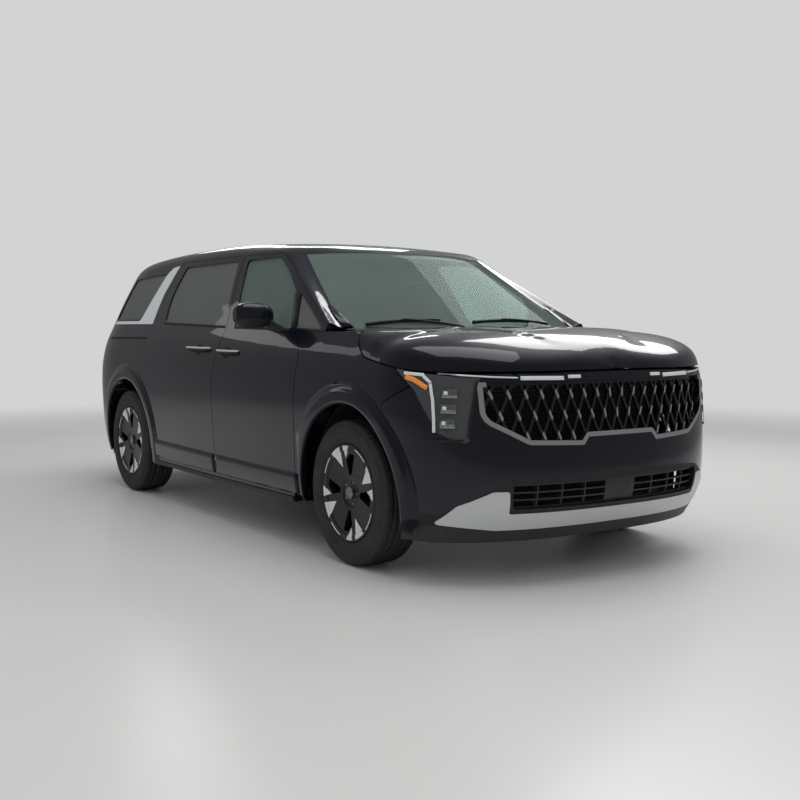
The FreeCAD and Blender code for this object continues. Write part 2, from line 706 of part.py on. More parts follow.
ROOF_END = TAIL + 290
roof_room = roof_plan(0.5 - SEAT)
roof = patch(roof_point, spread(FRONT_AXLE - 830, ROOF_END, 30), spread(-1, 1, 13), 0, ROOF_THICK)
roof = roof.cut(head_band(0, 900))
header = patch(roof_point, spread(FRONT_AXLE - 760, FRONT_AXLE - 1120, 9), spread(-1, 1, 13),
               0.5 + GLASS + 3 * SEAT, 32)
header = header.common(head_band(-60, 42))
roof = largest(roof.fuse(header).common(roof_room))


def screen_point(v, u):
    guess = u * 720
    x = mix(screen_foot(guess * 1.12), screen_head(guess * 0.9) - 40, v)
    y = u * (rail_top(x) + 6)
    return Vector(x, y, top_z(x, y))


windshield = patch(screen_point, spread(0, 1, 14), spread(-1, 1, 13), 0.5, 0.5 + GLASS)
windshield = largest(windshield.common(head_band(1, 900)).common(roof_room))

# The hood and the cowl behind it.
HOOD_SIDE = (
    (1380, 1184 + GAP), (1648, 1184 + GAP), (1702, 1112 + GAP), (1774, 1055 + GAP), (1916, 1031 + GAP),
    (2048, 1011 + GAP), (2300, 984 + GAP), (2440, 988 + GAP), (2560, 1004 + GAP), (2600, 1300), (1300, 1300),
)
HOOD_SIDE_RADII = (0, 30, 60, 120, 100, 60, 60, 60, 0, 0, 0)
HOOD_REAR = 1600
HOOD_CORNER = 1412
hood_stations = [("x", x) for x in spread(HOOD_BACK, NOSE_START - 60, 9)]
hood_stations += [("turn", turn) for turn in (90, 82, 74, 66, 59, 53, 47, 41, 35, 29, 23, 17, 11, 6, 3, 1)]
CREASE_SHARES = spread(0.68, 0.9, 15)
HALF_SHARES = [s for s in spread(0, 1, 19) if s < 0.67 or s > 0.91]
ARCH_HALF = sorted(HALF_SHARES + CREASE_SHARES)
ARCH_SHARES = ARCH_HALF + [2 - s for s in reversed(ARCH_HALF[:-1])]


def plan_band(first, last, low, high):
    """Upright slab between two arcs in plan, each given by its x at the sides and in the middle."""
    wide = 985
    wires = []
    for side, middle in (first, last):
        wires.append(Part.Arc(Vector(side, -wide, 0), Vector(middle, 0, 0), Vector(side, wide, 0)).toShape())
    ends = [Part.LineSegment(Vector(first[0], y, 0), Vector(last[0], y, 0)).toShape() for y in (-wide, wide)]
    face = Part.Face(Part.Wire([wires[0], ends[1], wires[1], ends[0]]))
    face.translate(Vector(0, 0, low))
    return face.extrude(Vector(0, 0, high - low))


hood = patch(arch_point, hood_stations, ARCH_SHARES, 0, HOOD_THICK)
hood = hood.common(prism(HOOD_SIDE, "xz", -1200, 1200, HOOD_SIDE_RADII))
hood = largest(hood.common(plan_band((HOOD_CORNER, HOOD_REAR), (2700, 2750), 900, 1400)))


def turn_at(point, y, z):
    """Angle at which the nose or the tail reaches the distance y from the middle plane."""
    low, high = 0.0, 90.0
    for _ in range(40):
        turn = (low + high) / 2
        low, high = (turn, high) if abs(point(turn, z).y) < y else (low, turn)
    return turn


def shell_band(turns, low, high, point, outside, inside, count=12):
    stations = [("turn", turn) for turn in turns]
    return patch(lambda q, z: point(q[1], z), stations, spread(low, high, count), outside, inside)


# Front wings.
fender_stations = [("x", x) for x in spread(DOOR_FRONT - 160, NOSE_START - 60, 8)]
fender_stations += [("turn", turn) for turn in (90, 82, 74, 66, 59, 53, 47, 41)]


def wing_point(station, z):
    kind, place = station
    return Vector(place, -side_y(place, z), z) if kind == "x" else nose_point(place, z)


WING_THICK = 19
wing = patch(wing_point, fender_stations, spread(SILL, 1186, 17), 0, WING_THICK)
wing = wing.common(side_prism(FENDER, FENDER_RADII, -GAP / 2)).cut(front_arch)
wing = largest(wing)

# Nose: bumper cover, lamps, grille, lower grille, skid plate and valance.
NOSE_TURNS = (88, 80, 73, 66, 60, 54, 48, 42, 36, 30, 24, 18, 12, 6)
NOSE_TURNS = NOSE_TURNS + (0,) + tuple(-turn for turn in reversed(NOSE_TURNS))
nose_skin = shell_band(NOSE_TURNS, 200, 1010, nose_point, 0, BUMPER, 22)
LAMP = ((2054, 1010), (2174, 914), (2285, 716), (2385, 668), (2394, 972), (2300, 978), (2130, 1000))
LAMP_RADII = (2, 40, 30, 12, 6, 100, 100)
lamp_cut = side_prism(LAMP, LAMP_RADII, SEAT)
lamp_cut = lamp_cut.fuse(mirrored(lamp_cut))
GRILLE = (
    (-745, 952), (-738, 774), (-532, 664), (-239, 652), (-208, 690),
    (208, 690), (239, 652), (532, 664), (738, 774), (745, 952),
)
GRILLE_RADII = (10, 90, 60, 10, 10, 10, 10, 60, 90, 10)
INTAKE = ((-614, 487), (-596, 367), (596, 367), (614, 487))
INTAKE_RADII = 24
FRONT = (1900, NOSE + 40)
GRILLE_FACE = 24
grille_cut = prism(GRILLE, "yz", FRONT[0], FRONT[1], GRILLE_RADII)
intake_cut = prism(INTAKE, "yz", FRONT[0], FRONT[1], INTAKE_RADII)
SKID = (
    (-880, 292), (-818, 384), (-690, 452), (-622, 452), (-610, 345), (610, 345), (622, 452), (690, 452), (818, 384), (880, 292),
    (640, 262), (-640, 262),
)
skid_cut = prism(SKID, "yz", FRONT[0], FRONT[1], 12)
valance_cut = prism(((-1000, 180), (1000, 180), (1000, 268), (880, 288), (640, 258), (-640, 258), (-880, 288),
                     (-1000, 268)), "yz", FRONT[0], FRONT[1], 0)
bumper_region = prism(((1976, 841), (1950, 700), (1900, 150), (2700, 150), (2700, 998), (2560, 1000), (2440, 984),
                       (2300, 980), (2151, 1000), (2151, 929)), "xz", ACROSS[0], ACROSS[1],
                      (30, 60, 0, 0, 0, 20, 20, 20, 0, 8), -GAP / 2)
front_bumper = nose_skin.common(bumper_region).cut(lamp_cut).cut(grille_cut).cut(intake_cut)
front_bumper = front_bumper.cut(skid_cut).cut(valance_cut)
front_bumper = front_bumper.cut(front_arch).cut(mirrored(front_arch))
front_bumper = [s for s in front_bumper.Solids if s.Volume > 5e4]
grille_edge = prism(GRILLE, "yz", FRONT[0], FRONT[1], GRILLE_RADII, SEAT)
LENS = 5
LAMP_DEPTH = 60
lens_skin = shell_band(NOSE_TURNS, 640, 1010, nose_point, 0.5, LENS, 10)
headlamp = largest(lens_skin.common(side_prism(LAMP, LAMP_RADII)).cut(grille_edge))

# Inside each headlamp: a housing with a rim, a light bar that turns forward at its top, and three blocks.
LAMP_BAR = ((2246, 736), (2266, 724), (2270, 938), (2386, 944), (2386, 962), (2250, 958))
LAMP_BLOCKS = ((736, 788), (804, 858), (874, 924))
lamp_cell = side_prism(LAMP, LAMP_RADII, -SEAT)
lamp_room = lamp_cell.cut(side_prism(LAMP, LAMP_RADII, -9))
lamp_deep = shell_band(NOSE_TURNS, 640, 1010, nose_point, LENS + SEAT, LAMP_DEPTH, 10)
lamp_back = shell_band(NOSE_TURNS, 640, 1010, nose_point, LAMP_DEPTH - 14, LAMP_DEPTH, 10)
lamp_high = shell_band(NOSE_TURNS, 640, 1010, nose_point, 18, LAMP_DEPTH - 8, 10)
blocks = [block(2290, 2372, RIGHT[0], RIGHT[1], low, high) for low, high in LAMP_BLOCKS]
raised = lamp_high.common(side_prism(LAMP_BAR, 4).fuse(blocks).common(lamp_cell))
lamp_unit = lamp_deep.common(lamp_room).fuse([lamp_back.common(lamp_cell), raised])
lamp_unit = largest(lamp_unit.cut(grille_edge).removeSplitter())
grille_room = prism(GRILLE, "yz", FRONT[0], FRONT[1], GRILLE_RADII, -SEAT)
grille_skin = shell_band(NOSE_TURNS[2:-2], 630, 1010, nose_point, GRILLE_FACE, GRILLE_FACE + 18, 10)
grille = grille_skin.common(grille_room)

# The lattice: crossing bars on a diamond net, open between them, with a bright accent on each crossing.
NET_Y = 80
NET_Z = 97
NET_TOP = 893
BAR = 13
ACCENT = (11, 52)
ACCENT_LEAN = math.degrees(math.atan(NET_Y / 2 / NET_Z))
CELL = 1 - BAR / 2 / (NET_Y / 2 * NET_Z / math.hypot(NET_Y / 2, NET_Z))
BORDER = 16
net_rows = [(row, NET_TOP - row * NET_Z) for row in range(-1, 4)]
net_room = prism(GRILLE, "yz", FRONT[0], FRONT[1], GRILLE_RADII, -BORDER)
cells = []
for row, z in net_rows:
    for column in range(-9, 10):
        y = (column + 0.5 * (row % 2)) * NET_Y
        wide, tall = NET_Y / 2 * CELL, NET_Z * CELL
        cell = prism(((y - wide, z), (y, z + tall), (y + wide, z), (y, z - tall)), "yz", FRONT[0], FRONT[1], 5)
        cells += solids(cell.common(net_room))
grille = largest(grille.cut(cells))
accent_skin = shell_band(NOSE_TURNS[2:-2], 630, 1010, nose_point, GRILLE_FACE - 7, GRILLE_FACE - SEAT, 10)
accents = []
for row, z in net_rows[1:4]:
    for column in range(-9, 10):
        y = (column + 0.5 * ((row + 1) % 2)) * NET_Y
        if abs(y) > 700 or (row == 2 and not 260 < abs(y) < 640):
            continue
        half, tall = ACCENT[0] / 2, ACCENT[1] / 2
        mark = prism(((y - half, z - tall), (y + half, z - tall + 12), (y + half, z + tall), (y - half, z + tall - 12)),
                     "yz", FRONT[0], FRONT[1], 1.5)
        lean = ACCENT_LEAN * max(-1.0, min(1.0, y / 160))
        mark.rotate(Vector(0, y, z), Vector(1, 0, 0), -lean)
        accents.append(mark)
accent_room = prism(GRILLE, "yz", FRONT[0], FRONT[1], GRILLE_RADII, -24)
accents = solids(accent_skin.common(accent_room).common(Part.makeCompound(accents)))
accents = [mark for mark in accents if mark.Volume > 600]
frame_skin = shell_band(NOSE_TURNS[2:-2], 630, 1010, nose_point, -2, GRILLE_FACE - 2 * SEAT, 10)
frame_ring = prism(GRILLE, "yz", FRONT[0], FRONT[1], GRILLE_RADII, -SEAT)
frame_ring = frame_ring.cut(prism(GRILLE, "yz", FRONT[0], FRONT[1], GRILLE_RADII, -22))
frame_ring = frame_ring.cut(block(FRONT[0], FRONT[1], -706, 706, 900, 1000))
grille_frame = largest(frame_skin.common(frame_ring))
intake_skin = shell_band(NOSE_TURNS[2:-2], 340, 520, nose_point, 16, 40, 6)
lower_grille = intake_skin.common(prism(INTAKE, "yz", FRONT[0], FRONT[1], INTAKE_RADII, -SEAT))
SLAT = 7
INTAKE_ROWS = (376, 410, 444, 479)
INTAKE_COLUMNS = (93, 222, 351, 480, 598)
slots = []
for low, high in zip(INTAKE_ROWS, INTAKE_ROWS[1:]):
    for near, far in zip(INTAKE_COLUMNS, INTAKE_COLUMNS[1:]):
        slot = block(FRONT[0], FRONT[1], near + SLAT / 2, far - SLAT / 2, low + SLAT / 2, high - SLAT / 2)
        slots += [slot, mirrored(slot)]
lower_grille = largest(lower_grille.cut(slots))
skid_skin = shell_band(NOSE_TURNS, 190, 520, nose_point, -3, BUMPER, 10)
skid = largest(skid_skin.common(prism(SKID, "yz", FRONT[0], FRONT[1], 12, -SEAT)))
valance = nose_skin.common(valance_cut).cut(skid_cut).cut(front_arch).cut(mirrored(front_arch))
valance = [s for s in valance.Solids if s.Volume > 5e4]

# Tail: tailgate, bumper cover and lamps.
tail_wall = patch(shell_point, BACK_STATIONS, SHARES, 0, TAIL_DEPTH)
tailgate = tail_wall.common(prism(TAILGATE, "yz", TAIL_SIDE[0], TAIL_SIDE[1], TAILGATE_RADII, -GAP / 2))
tailgate = tailgate.cut(roof_plan(GAP))
TAIL_WINDOW = ((-640, 1250), (-540, 1560), (540, 1560), (640, 1250))
tailgate = tailgate.cut(prism(TAIL_WINDOW, "yz", TAIL_SIDE[0], TAIL_SIDE[1], 50))
tail_glass_skin = patch(shell_point, BACK_STATIONS, SHARES, GLASS_INSET, GLASS_INSET + GLASS)
tailgate_glass = largest(tail_glass_skin.common(
    prism(TAIL_WINDOW, "yz", TAIL_SIDE[0], TAIL_SIDE[1], 50, -SEAT)))
TAIL_HINGE = tail_point(0, 1600).x
tailgate = largest(tailgate)
TAIL_LAMP = ((-1960, 1192), (-2040, 1128), (-2700, 1120), (-2700, 1196))
tail_lamp_skin = patch(shell_point, ALL_STATIONS[20:], LOW_SHARES, 0.5, 40)
lamp_prism = prism(TAIL_LAMP, "xz", -1150, -10, (4, 20, 0, 0))
tail_lamp = tail_lamp_skin.common(lamp_prism)
outer_lamp = largest(tail_lamp.cut(prism(TAILGATE, "yz", TAIL_SIDE[0], TAIL_SIDE[1], TAILGATE_RADII, GAP / 2)))
body_side = largest(body_side.cut(prism(TAIL_LAMP, "xz", -1150, -10, (4, 20, 0, 0), SEAT).common(
    patch(shell_point, ALL_STATIONS[18:], LOW_SHARES, -5, 41))))
bumper_turns = TAIL_TURNS[:-1] + (0,) + tuple(-turn for turn in reversed(TAIL_TURNS[:-1]))
rear_skin = shell_band(bumper_turns, 215, BUMPER_LINE + 20, tail_point, 0, BUMPER, 13)
rear_skin = rear_skin.cut(block(TAIL - 50, -1000, -1100, 1100, BUMPER_LINE, BUMPER_LINE + 60))
rear_bumper = rear_skin.cut(rear_arch).cut(mirrored(rear_arch))
rear_bumper = largest(rear_bumper)

# The cowl below the windscreen.
COWL_GAP = 12
cowl_room = block(SIDE_END + SEAT, 1700, -880, 880, 1080, 1300).fuse(block(1200, 1700, -780, 780, 1080, 1300))
cowl_skin = patch(arch_point, [("x", x) for x in spread(1240, 1640, 8)], ARCH_SHARES, 20, 34)
cowl = cowl_skin.common(plan_band((1240, 1452), (HOOD_CORNER - COWL_GAP, HOOD_REAR - COWL_GAP), 1080, 1280))
cowl = largest(cowl.common(cowl_room).cut(windshield.translated(Vector(0, 0, -SEAT))))

# Floor, firewall and wheel wells.
WELL = size("well_radius")
WELL_WALL = size("well_wall")
WELL_INNER = size("well_inner")
SILL_INNER = 836
FLOOR_LOW = FLOOR - size("floor_thick")
floor_plan = (
    (REAR_AXLE - WELL - WELL_WALL - 8, -700), (REAR_AXLE - WELL - WELL_WALL - 8, -WELL_INNER + WELL_WALL + SEAT),
    (REAR_AXLE + WELL + WELL_WALL + 8, -WELL_INNER + WELL_WALL + SEAT),
    (REAR_AXLE + WELL + WELL_WALL + 8, -SILL_INNER), (FRONT_AXLE - WELL - WELL_WALL - 8, -SILL_INNER),
    (FRONT_AXLE - WELL - WELL_WALL - 8, -WELL_INNER + WELL_WALL + SEAT), (FRONT_AXLE - 400, -WELL_INNER + WELL_WALL + SEAT),
)
floor_plan = floor_plan + tuple((x, -y) for x, y in reversed(floor_plan)) + (
    (TAIL + 205, 580), (TAIL + 205, -580))
floor_pan = prism(floor_plan, "xy", FLOOR_LOW, FLOOR)
wall_x = FRONT_AXLE - WELL - WELL_WALL - 8 - size("firewall_thick")
firewall = block(wall_x, wall_x + size("firewall_thick"), -SILL_INNER, SILL_INNER, FLOOR, 1130)
floor_pan = floor_pan.fuse(firewall).removeSplitter()


def make_well(x, outer_y, low):
    ring = drum(x, HUB, WELL + WELL_WALL, -outer_y, -WELL_INNER + WELL_WALL).cut(
        drum(x, HUB, WELL, -outer_y - 1, -WELL_INNER))
    return ring.common(block(x - 600, x + 600, -outer_y, -WELL_INNER + WELL_WALL, low, 1000))


wells = pair(make_well(FRONT_AXLE, 880, FLOOR_LOW)) + pair(make_well(REAR_AXLE, 838, FLOOR_LOW))

# Loading sill behind the tailgate's lower edge, with two stops for the gate.
TAIL_SILL = ((REAR_AXLE - 875, FLOOR + SEAT), (REAR_AXLE - 875, BUMPER_LINE - 2), (REAR_AXLE - 903, BUMPER_LINE - 2),
             (REAR_AXLE - 903, FLOOR + SEAT))
sill_plate = shell_band((44, 36, 28, 20, 10, 0, -10, -20, -28, -36, -44), BUMPER_LINE - 30, BUMPER_LINE - 2,
                        tail_point, BUMPER + SEAT, 216, 4)
tail_sill = sill_plate.fuse(prism(TAIL_SILL, "xz", -640, 640))
GATE_LOW = TAILGATE[0][1] + GAP / 2
for y in (-400, 400):
    spot = tail_point(turn_at(tail_point, abs(y), GATE_LOW), GATE_LOW).x
    tail_sill = tail_sill.fuse(Part.makeCylinder(11, GATE_LOW - SEAT - BUMPER_LINE + 12,
                                                 Vector(spot + 44, y, BUMPER_LINE - 12)))
tail_sill = largest(tail_sill.removeSplitter())

# Upper rails inside the wings and a cross beam behind the lamps, with the stops that carry the closed hood.
wing_rail = patch(wing_point, [("x", x) for x in spread(SIDE_END - 20, FRONT_AXLE + 400, 7)],
                  spread(935, 995, 4), WING_THICK + 2 * SEAT, 104)
wing_rail = wing_rail.cut(block(SIDE_END - 60, SIDE_END + SEAT, -1100, 0, 800, 1100))
nose_beam = shell_band(NOSE_TURNS, 935, 985, nose_point, 60 + SEAT, 104, 4)
nose_side = patch(wing_point, [("x", x) for x in spread(FRONT_AXLE + 380, NOSE_START + 80, 5)],
                  spread(938, 982, 4), 62, 102)
front_frame = nose_beam
for side in (wing_rail, nose_side):
    front_frame = front_frame.fuse(pair(side))
for y in (-520, 520):
    stop = Part.makeCylinder(12, 180, Vector(nose_point(turn_at(nose_point, abs(y), 960), 960).x - 88, y, 970))
    stop = min(stop.cut(hood.translated(Vector(0, 0, -SEAT))).Solids, key=lambda s: s.BoundBox.ZMin)
    front_frame = front_frame.fuse(stop)
front_frame = largest(front_frame)

# Rubber seals between the doors and their frames.
seal_skin = patch(skin_point, DOOR_STATIONS, DOOR_HEIGHTS, lambda q, z: skin_depth(q, z) + SEAT,
                  lambda q, z: room_depth(q, z) - 4 * SEAT)
seals = []
for outline, radii, far in ((FRONT_DOOR, FRONT_DOOR_RADII, DOOR_FRONT - 70), (SLIDE_DOOR, SLIDE_DOOR_RADII, 1100)):
    ring = side_prism(outline, radii, -17).cut(side_prism(outline, radii, -27))
    ring = ring.common(block(-1400, far, -1150, -420, 0, 1800))
    if outline is SLIDE_DOOR:
        ring = ring.cut(drum(REAR_AXLE, HUB, ARCH + size("arch_lip") + 60, *RIGHT))
    seals.append(largest(seal_skin.common(ring)))

for name, shape in (
    ("tail_sill", tail_sill), ("front_frame", front_frame), ("door_seals", seals + [mirrored(s) for s in seals]),
    ("body_side_right", body_side), ("body_side_left", mirrored(body_side)),
    ("front_door_right", front_door), ("front_door_left", mirrored(front_door)),
    ("sliding_door_right", slide_door), ("sliding_door_left", mirrored(slide_door)),
    ("front_glass_right", pane(FRONT_WINDOW, FRONT_WINDOW_RADII)),
    ("front_glass_left", mirrored(pane(FRONT_WINDOW, FRONT_WINDOW_RADII))),
    ("roof", roof), ("windshield", windshield), ("hood", hood), ("front_fenders", pair(wing)),
    ("front_bumper", front_bumper), ("headlamps", pair(headlamp)), ("lamp_units", pair(lamp_unit)),
    ("grille", grille), ("grille_accents", accents), ("pillar_fins", pair(fin)),
    ("grille_frame", grille_frame), ("lower_grille", lower_grille), ("front_skid", skid),
    ("front_valance", valance), ("tailgate", tailgate), ("tailgate_glass", tailgate_glass),
    ("rear_bumper", rear_bumper), ("tail_lamps", pair(outer_lamp)),
):
    feature(name, shape)
feature("side_glass", pair(pane(SLIDE_WINDOW, SLIDE_WINDOW_RADII)) + pair(pane(QUARTER_WINDOW, QUARTER_WINDOW_RADII, corner_skin))
        + pair(pane(CORNER_WINDOW, CORNER_WINDOW_RADII)))

feature("cowl_panel", cowl)
feature("floor_pan", floor_pan)
feature("wheel_wells", wells)

# Pieces built as bodies with sketches. Every corner of a sketch is bound to the sheet.


def outline_sketch(body, role, corners):
    """Closed polygon on one of the body's own planes; each corner is a pair of expressions."""
    sketch = body.newObject("Sketcher::SketchObject", "outline")
    sketch.AttachmentSupport = (next(f for f in body.Origin.OriginFeatures if f.Role == role), [""])
    sketch.MapMode = "FlatFace"
    count = len(corners)

    def spot(i):
        turn = 2 * math.pi * i / count
        return Vector(300 + 100 * math.cos(turn), 100 * math.sin(turn), 0)

    for i in range(count):
        sketch.addGeometry(Part.LineSegment(spot(i), spot(i + 1)))
    for i in range(count):
        sketch.addConstraint(Sketcher.Constraint("Coincident", i, 2, (i + 1) % count, 1))
    for i, (across, along) in enumerate(corners):
        for kind, words in (("DistanceX", across), ("DistanceY", along)):
            place = sketch.addConstraint(Sketcher.Constraint(kind, -1, 1, i, 1, 1.0))
            sketch.setExpression("Constraints[%d]" % place, words)
    return sketch


def placed(body, x, y, z):
    for axis, words in (("x", x), ("y", y), ("z", z)):
        body.setExpression("Placement.Base.%s" % axis, words)


def start_body(label):
    body = doc.addObject("PartDesign::Body", label)
    body.Label = label
    NODES.append(body)
    return body


def revolved(body, corners):
    """Revolve a profile drawn with the radius across and the body's Y along its axis."""
    turn = body.newObject("PartDesign::Revolution", "turned")
    turn.Profile = outline_sketch(body, "XY_Plane", corners)
    turn.ReferenceAxis = (turn.Profile[0], ["V_Axis"])
    turn.Angle = 360
    return turn


def padded(body, role, corners, length, both=True):
    pad = body.newObject("PartDesign::Pad", "pad")
    pad.Profile = outline_sketch(body, role, corners)
    pad.setExpression("Length", length)
    pad.Midplane = both
    return pad


S = "sizes."
BARREL = S + "tyre_bore - " + S + "seat_gap"
RIM_HALF = S + "rim_width / 2"


HUB_FACE = "(" + S + "rim_width / 2 - " + S + "rim_face - 14)"
DISC_OUT = "(" + S + "disc_place + " + S + "disc_thick)"
DISC_IN = "(" + S + "disc_place)"


def make_tyre(label, x, y):
    body = start_body(label)
    inner = "(" + RIM_HALF + " - " + S + "rim_wall - " + S + "seat_gap)"
    bore, crown = S + "tyre_bore", S + "tyre_radius"
    half, tread = S + "tyre_width / 2", S + "tread_width / 2"
    side = [
        (bore, inner), (S + "rim_radius + 2", inner), (S + "rim_radius + 6", half + " - 16"),
        (S + "rim_radius + 22", half + " - 4"), (S + "rim_radius + 46", half),
        (crown + " - 44", half + " - 3"), (crown + " - 16", tread + " + 9"), (crown + " - 5", tread),
        (crown + " - 0.6", tread + " * 0.75"), (crown, tread + " * 0.4"),
    ]
    corners = side + [(r, "-(" + w + ")") for r, w in reversed(side)]
    revolved(body, corners)
    placed(body, x, y, S + "tyre_radius")
    return body


# Corner of each rim window as a radius and an angle from the spoke beside it.
WINDOW_REACH = "(" + BARREL + " - " + S + "rim_wall - 15)"
SPOKE_TURN = 105
RIM_WINDOW = []
for reach, turn in (("92", -9.5), ("165", -5.5), (WINDOW_REACH, -18), (WINDOW_REACH, -30), ("92", -25)):
    angle = math.radians(SPOKE_TURN + turn)
    RIM_WINDOW.append(("%s * %.4f" % (reach, math.cos(angle)), "%s * %.4f" % (reach, math.sin(angle))))


def pierced(body, sketch, start, length, face, count):
    """Cut a sketch through the outer side of a wheel, as often as the count says, round its axis."""
    sketch.setExpression("AttachmentOffset.Base.z", start if face < 0 else "-" + start)
    pocket = body.newObject("PartDesign::Pocket", "pocket")
    pocket.Profile = sketch
    pocket.setExpression("Length", length)
    pocket.Reversed = face < 0
    doc.recompute()
    pattern = body.newObject("PartDesign::PolarPattern", "round")
    pattern.Originals = [pocket]
    pattern.Axis = (next(f for f in body.Origin.OriginFeatures if f.Role == "Y_Axis"), [""])
    pattern.Angle = 360
    pattern.setExpression("Occurrences", count)
    body.Tip = pattern


def make_rim(label, x, y, face):
    """Wheel with its hub and brake disc; face is the sign of its outer side along Y."""
    body = start_body(label)
    barrel = "(" + BARREL + ")"
    wall = S + "rim_wall"
    flange = S + "rim_radius"

    def out(words):
        return ("-(%s)" if face < 0 else "(%s)") % words

    corners = [
        (barrel, RIM_HALF + " - " + wall), (flange, RIM_HALF + " - " + wall), (flange, RIM_HALF),
        (barrel + " - " + wall, RIM_HALF), (barrel + " - " + wall + " - 6", RIM_HALF + " - 6"),
        ("80", RIM_HALF + " - 14"), ("60", RIM_HALF + " - 20"), ("34", RIM_HALF + " - 20"),
        ("30", RIM_HALF + " - 12"), ("0.001", RIM_HALF + " - 10"), ("0.001", HUB_FACE + " - 2"),
        ("38", HUB_FACE + " - 2"), ("38", DISC_IN), (S + "disc_radius", DISC_IN), (S + "disc_radius", DISC_OUT),
        (S + "hub_radius", DISC_OUT), (S + "hub_radius", HUB_FACE), ("84", RIM_HALF + " - 42"),
        (barrel + " - " + wall + " - 14", RIM_HALF + " - 34"), (barrel + " - " + wall, RIM_HALF + " - 60"),
        (barrel + " - " + wall, "-" + RIM_HALF), (flange, "-" + RIM_HALF),
        (flange, "-" + RIM_HALF + " + " + wall), (barrel, "-" + RIM_HALF + " + " + wall),
    ]
    revolved(body, [(r, out(w)) for r, w in corners])
    windows = outline_sketch(body, "XZ_Plane", RIM_WINDOW)
    pierced(body, windows, "(" + RIM_HALF + " - 70)", "80", face, S + "window_count")
    studs = body.newObject("Sketcher::SketchObject", "stud_outline")
    studs.AttachmentSupport = (next(f for f in body.Origin.OriginFeatures if f.Role == "XZ_Plane"), [""])
    studs.MapMode = "FlatFace"
    studs.addGeometry(Part.Circle(Vector(50, 0, 0), Vector(0, 0, 1), 9))
    for kind, words in (("DistanceX", S + "stud_circle"), ("DistanceY", "0 * " + S + "stud_circle")):
        place = studs.addConstraint(Sketcher.Constraint(kind, -1, 1, 0, 3, 1.0))
        studs.setExpression("Constraints[%d]" % place, words)
    place = studs.addConstraint(Sketcher.Constraint("Radius", 0, 9))
    studs.setExpression("Constraints[%d]" % place, S + "stud_radius")
    pierced(body, studs, "(" + RIM_HALF + " - 36)", "60", face, S + "stud_count")
    placed(body, x, y, S + "tyre_radius")
    return body


WHEELS = (
    ("front_right", "sizes.length / 2 - sizes.front_overhang", "-sizes.track / 2", -1),
    ("front_left", "sizes.length / 2 - sizes.front_overhang", "sizes.track / 2", 1),
    ("rear_right", "sizes.length / 2 - sizes.front_overhang - sizes.wheelbase", "-sizes.track / 2", -1),
    ("rear_left", "sizes.length / 2 - sizes.front_overhang - sizes.wheelbase", "sizes.track / 2", 1),
)
for place, x, y, face in WHEELS:
    make_tyre("tyre_" + place, x, y)
    make_rim("rim_" + place, x, y, face)

FRONT_X = "(sizes.length / 2 - sizes.front_overhang)"
REAR_X = "(sizes.length / 2 - sizes.front_overhang - sizes.wheelbase)"
KING_Y = "(sizes.track / 2 - sizes.king_inset)"


def both_sides(label, source):
    """One node with a piece and its mirror image across the middle plane."""
    NODES.remove(source)
    image = doc.addObject("Part::Mirroring", label + "_image")
    image.Source = source
    image.Normal = Vector(0, 1, 0)
    group = doc.addObject("Part::Compound", label)
    group.Label = label
    group.Links = [source, image]
    NODES.append(group)
    return group


def polygon(text_pairs):
    return [tuple(str(value) for value in pair_) for pair_ in text_pairs]


def make_knuckle(label, x, side):
    """Upright with its spindle; side is the sign of Y."""
    body = start_body(label)
    padded(body, "XZ_Plane", polygon(((-28, -165), (28, -165), (34, -60), (52, 0), (34, 60), (28, 165),
                                      (-28, 165), (-34, 60), (-52, 0), (-34, -60))), "44")
    spindle = body.newObject("PartDesign::Pad", "spindle")
    ring = body.newObject("Sketcher::SketchObject", "spindle_outline")
    ring.AttachmentSupport = (next(f for f in body.Origin.OriginFeatures if f.Role == "XZ_Plane"), [""])
    ring.MapMode = "FlatFace"
    ring.addGeometry(Part.Circle(Vector(), Vector(0, 0, 1), 37.6))
    ring.addConstraint(Sketcher.Constraint("Coincident", 0, 3, -1, 1))
    ring.setExpression("Constraints[%d]" % ring.addConstraint(Sketcher.Constraint("Radius", 0, 37.6)), "37.6")
    spindle.Profile = ring
    spindle.setExpression("Length", "sizes.king_inset + " + HUB_FACE + " - 2.4")
    spindle.Reversed = side > 0
    placed(body, x, ("-" if side < 0 else "") + KING_Y, "sizes.tyre_radius")
    return body


make_knuckle("knuckle_front_right", FRONT_X, -1)
make_knuckle("knuckle_front_left", FRONT_X, 1)
both_sides("rear_knuckles", make_knuckle("rear_knuckle", REAR_X, -1))


def make_seat(label, x, y, wide):
    body = start_body(label)
    padded(body, "XZ_Plane", polygon((
        (230, 0), (215, 170), (262, 200), (285, 300), (262, 352), (200, 366), (-150, 318), (-235, 560),
        (-330, 900), (-366, 925), (-430, 905), (-425, 800), (-345, 420), (-285, 210), (-215, 170), (-230, 0))), wide)
    padded(body, "XZ_Plane", polygon((
        (-322, 860), (-352, 1040), (-380, 1080), (-436, 1070), (-456, 1030), (-430, 860))), "270")
    placed(body, x, y, "sizes.floor_height + 0.3")
    return body


both_sides("front_seats", make_seat("front_seat", FRONT_X + " - 1480", "380", "520"))
both_sides("middle_seats", make_seat("middle_seat", FRONT_X + " - 2310", "370", "500"))
make_seat("rear_seat", REAR_X + " - 60", "0", "960")

dash = start_body("dashboard")
DASH_X = "(" + FRONT_X + " - sizes.well_radius - sizes.well_wall - 8 - sizes.firewall_thick - 0.3)"
padded(dash, "XZ_Plane", (
    (DASH_X, "700"), (DASH_X, "1130.3"), (DASH_X + " + 200", "1146"), (DASH_X + " + 200", "1164"),
    (DASH_X + " - 90", "1152"), (DASH_X + " - 230", "1090"), (DASH_X + " - 275", "1010"),
    (DASH_X + " - 250", "920"), (DASH_X + " - 180", "720")), "1400")

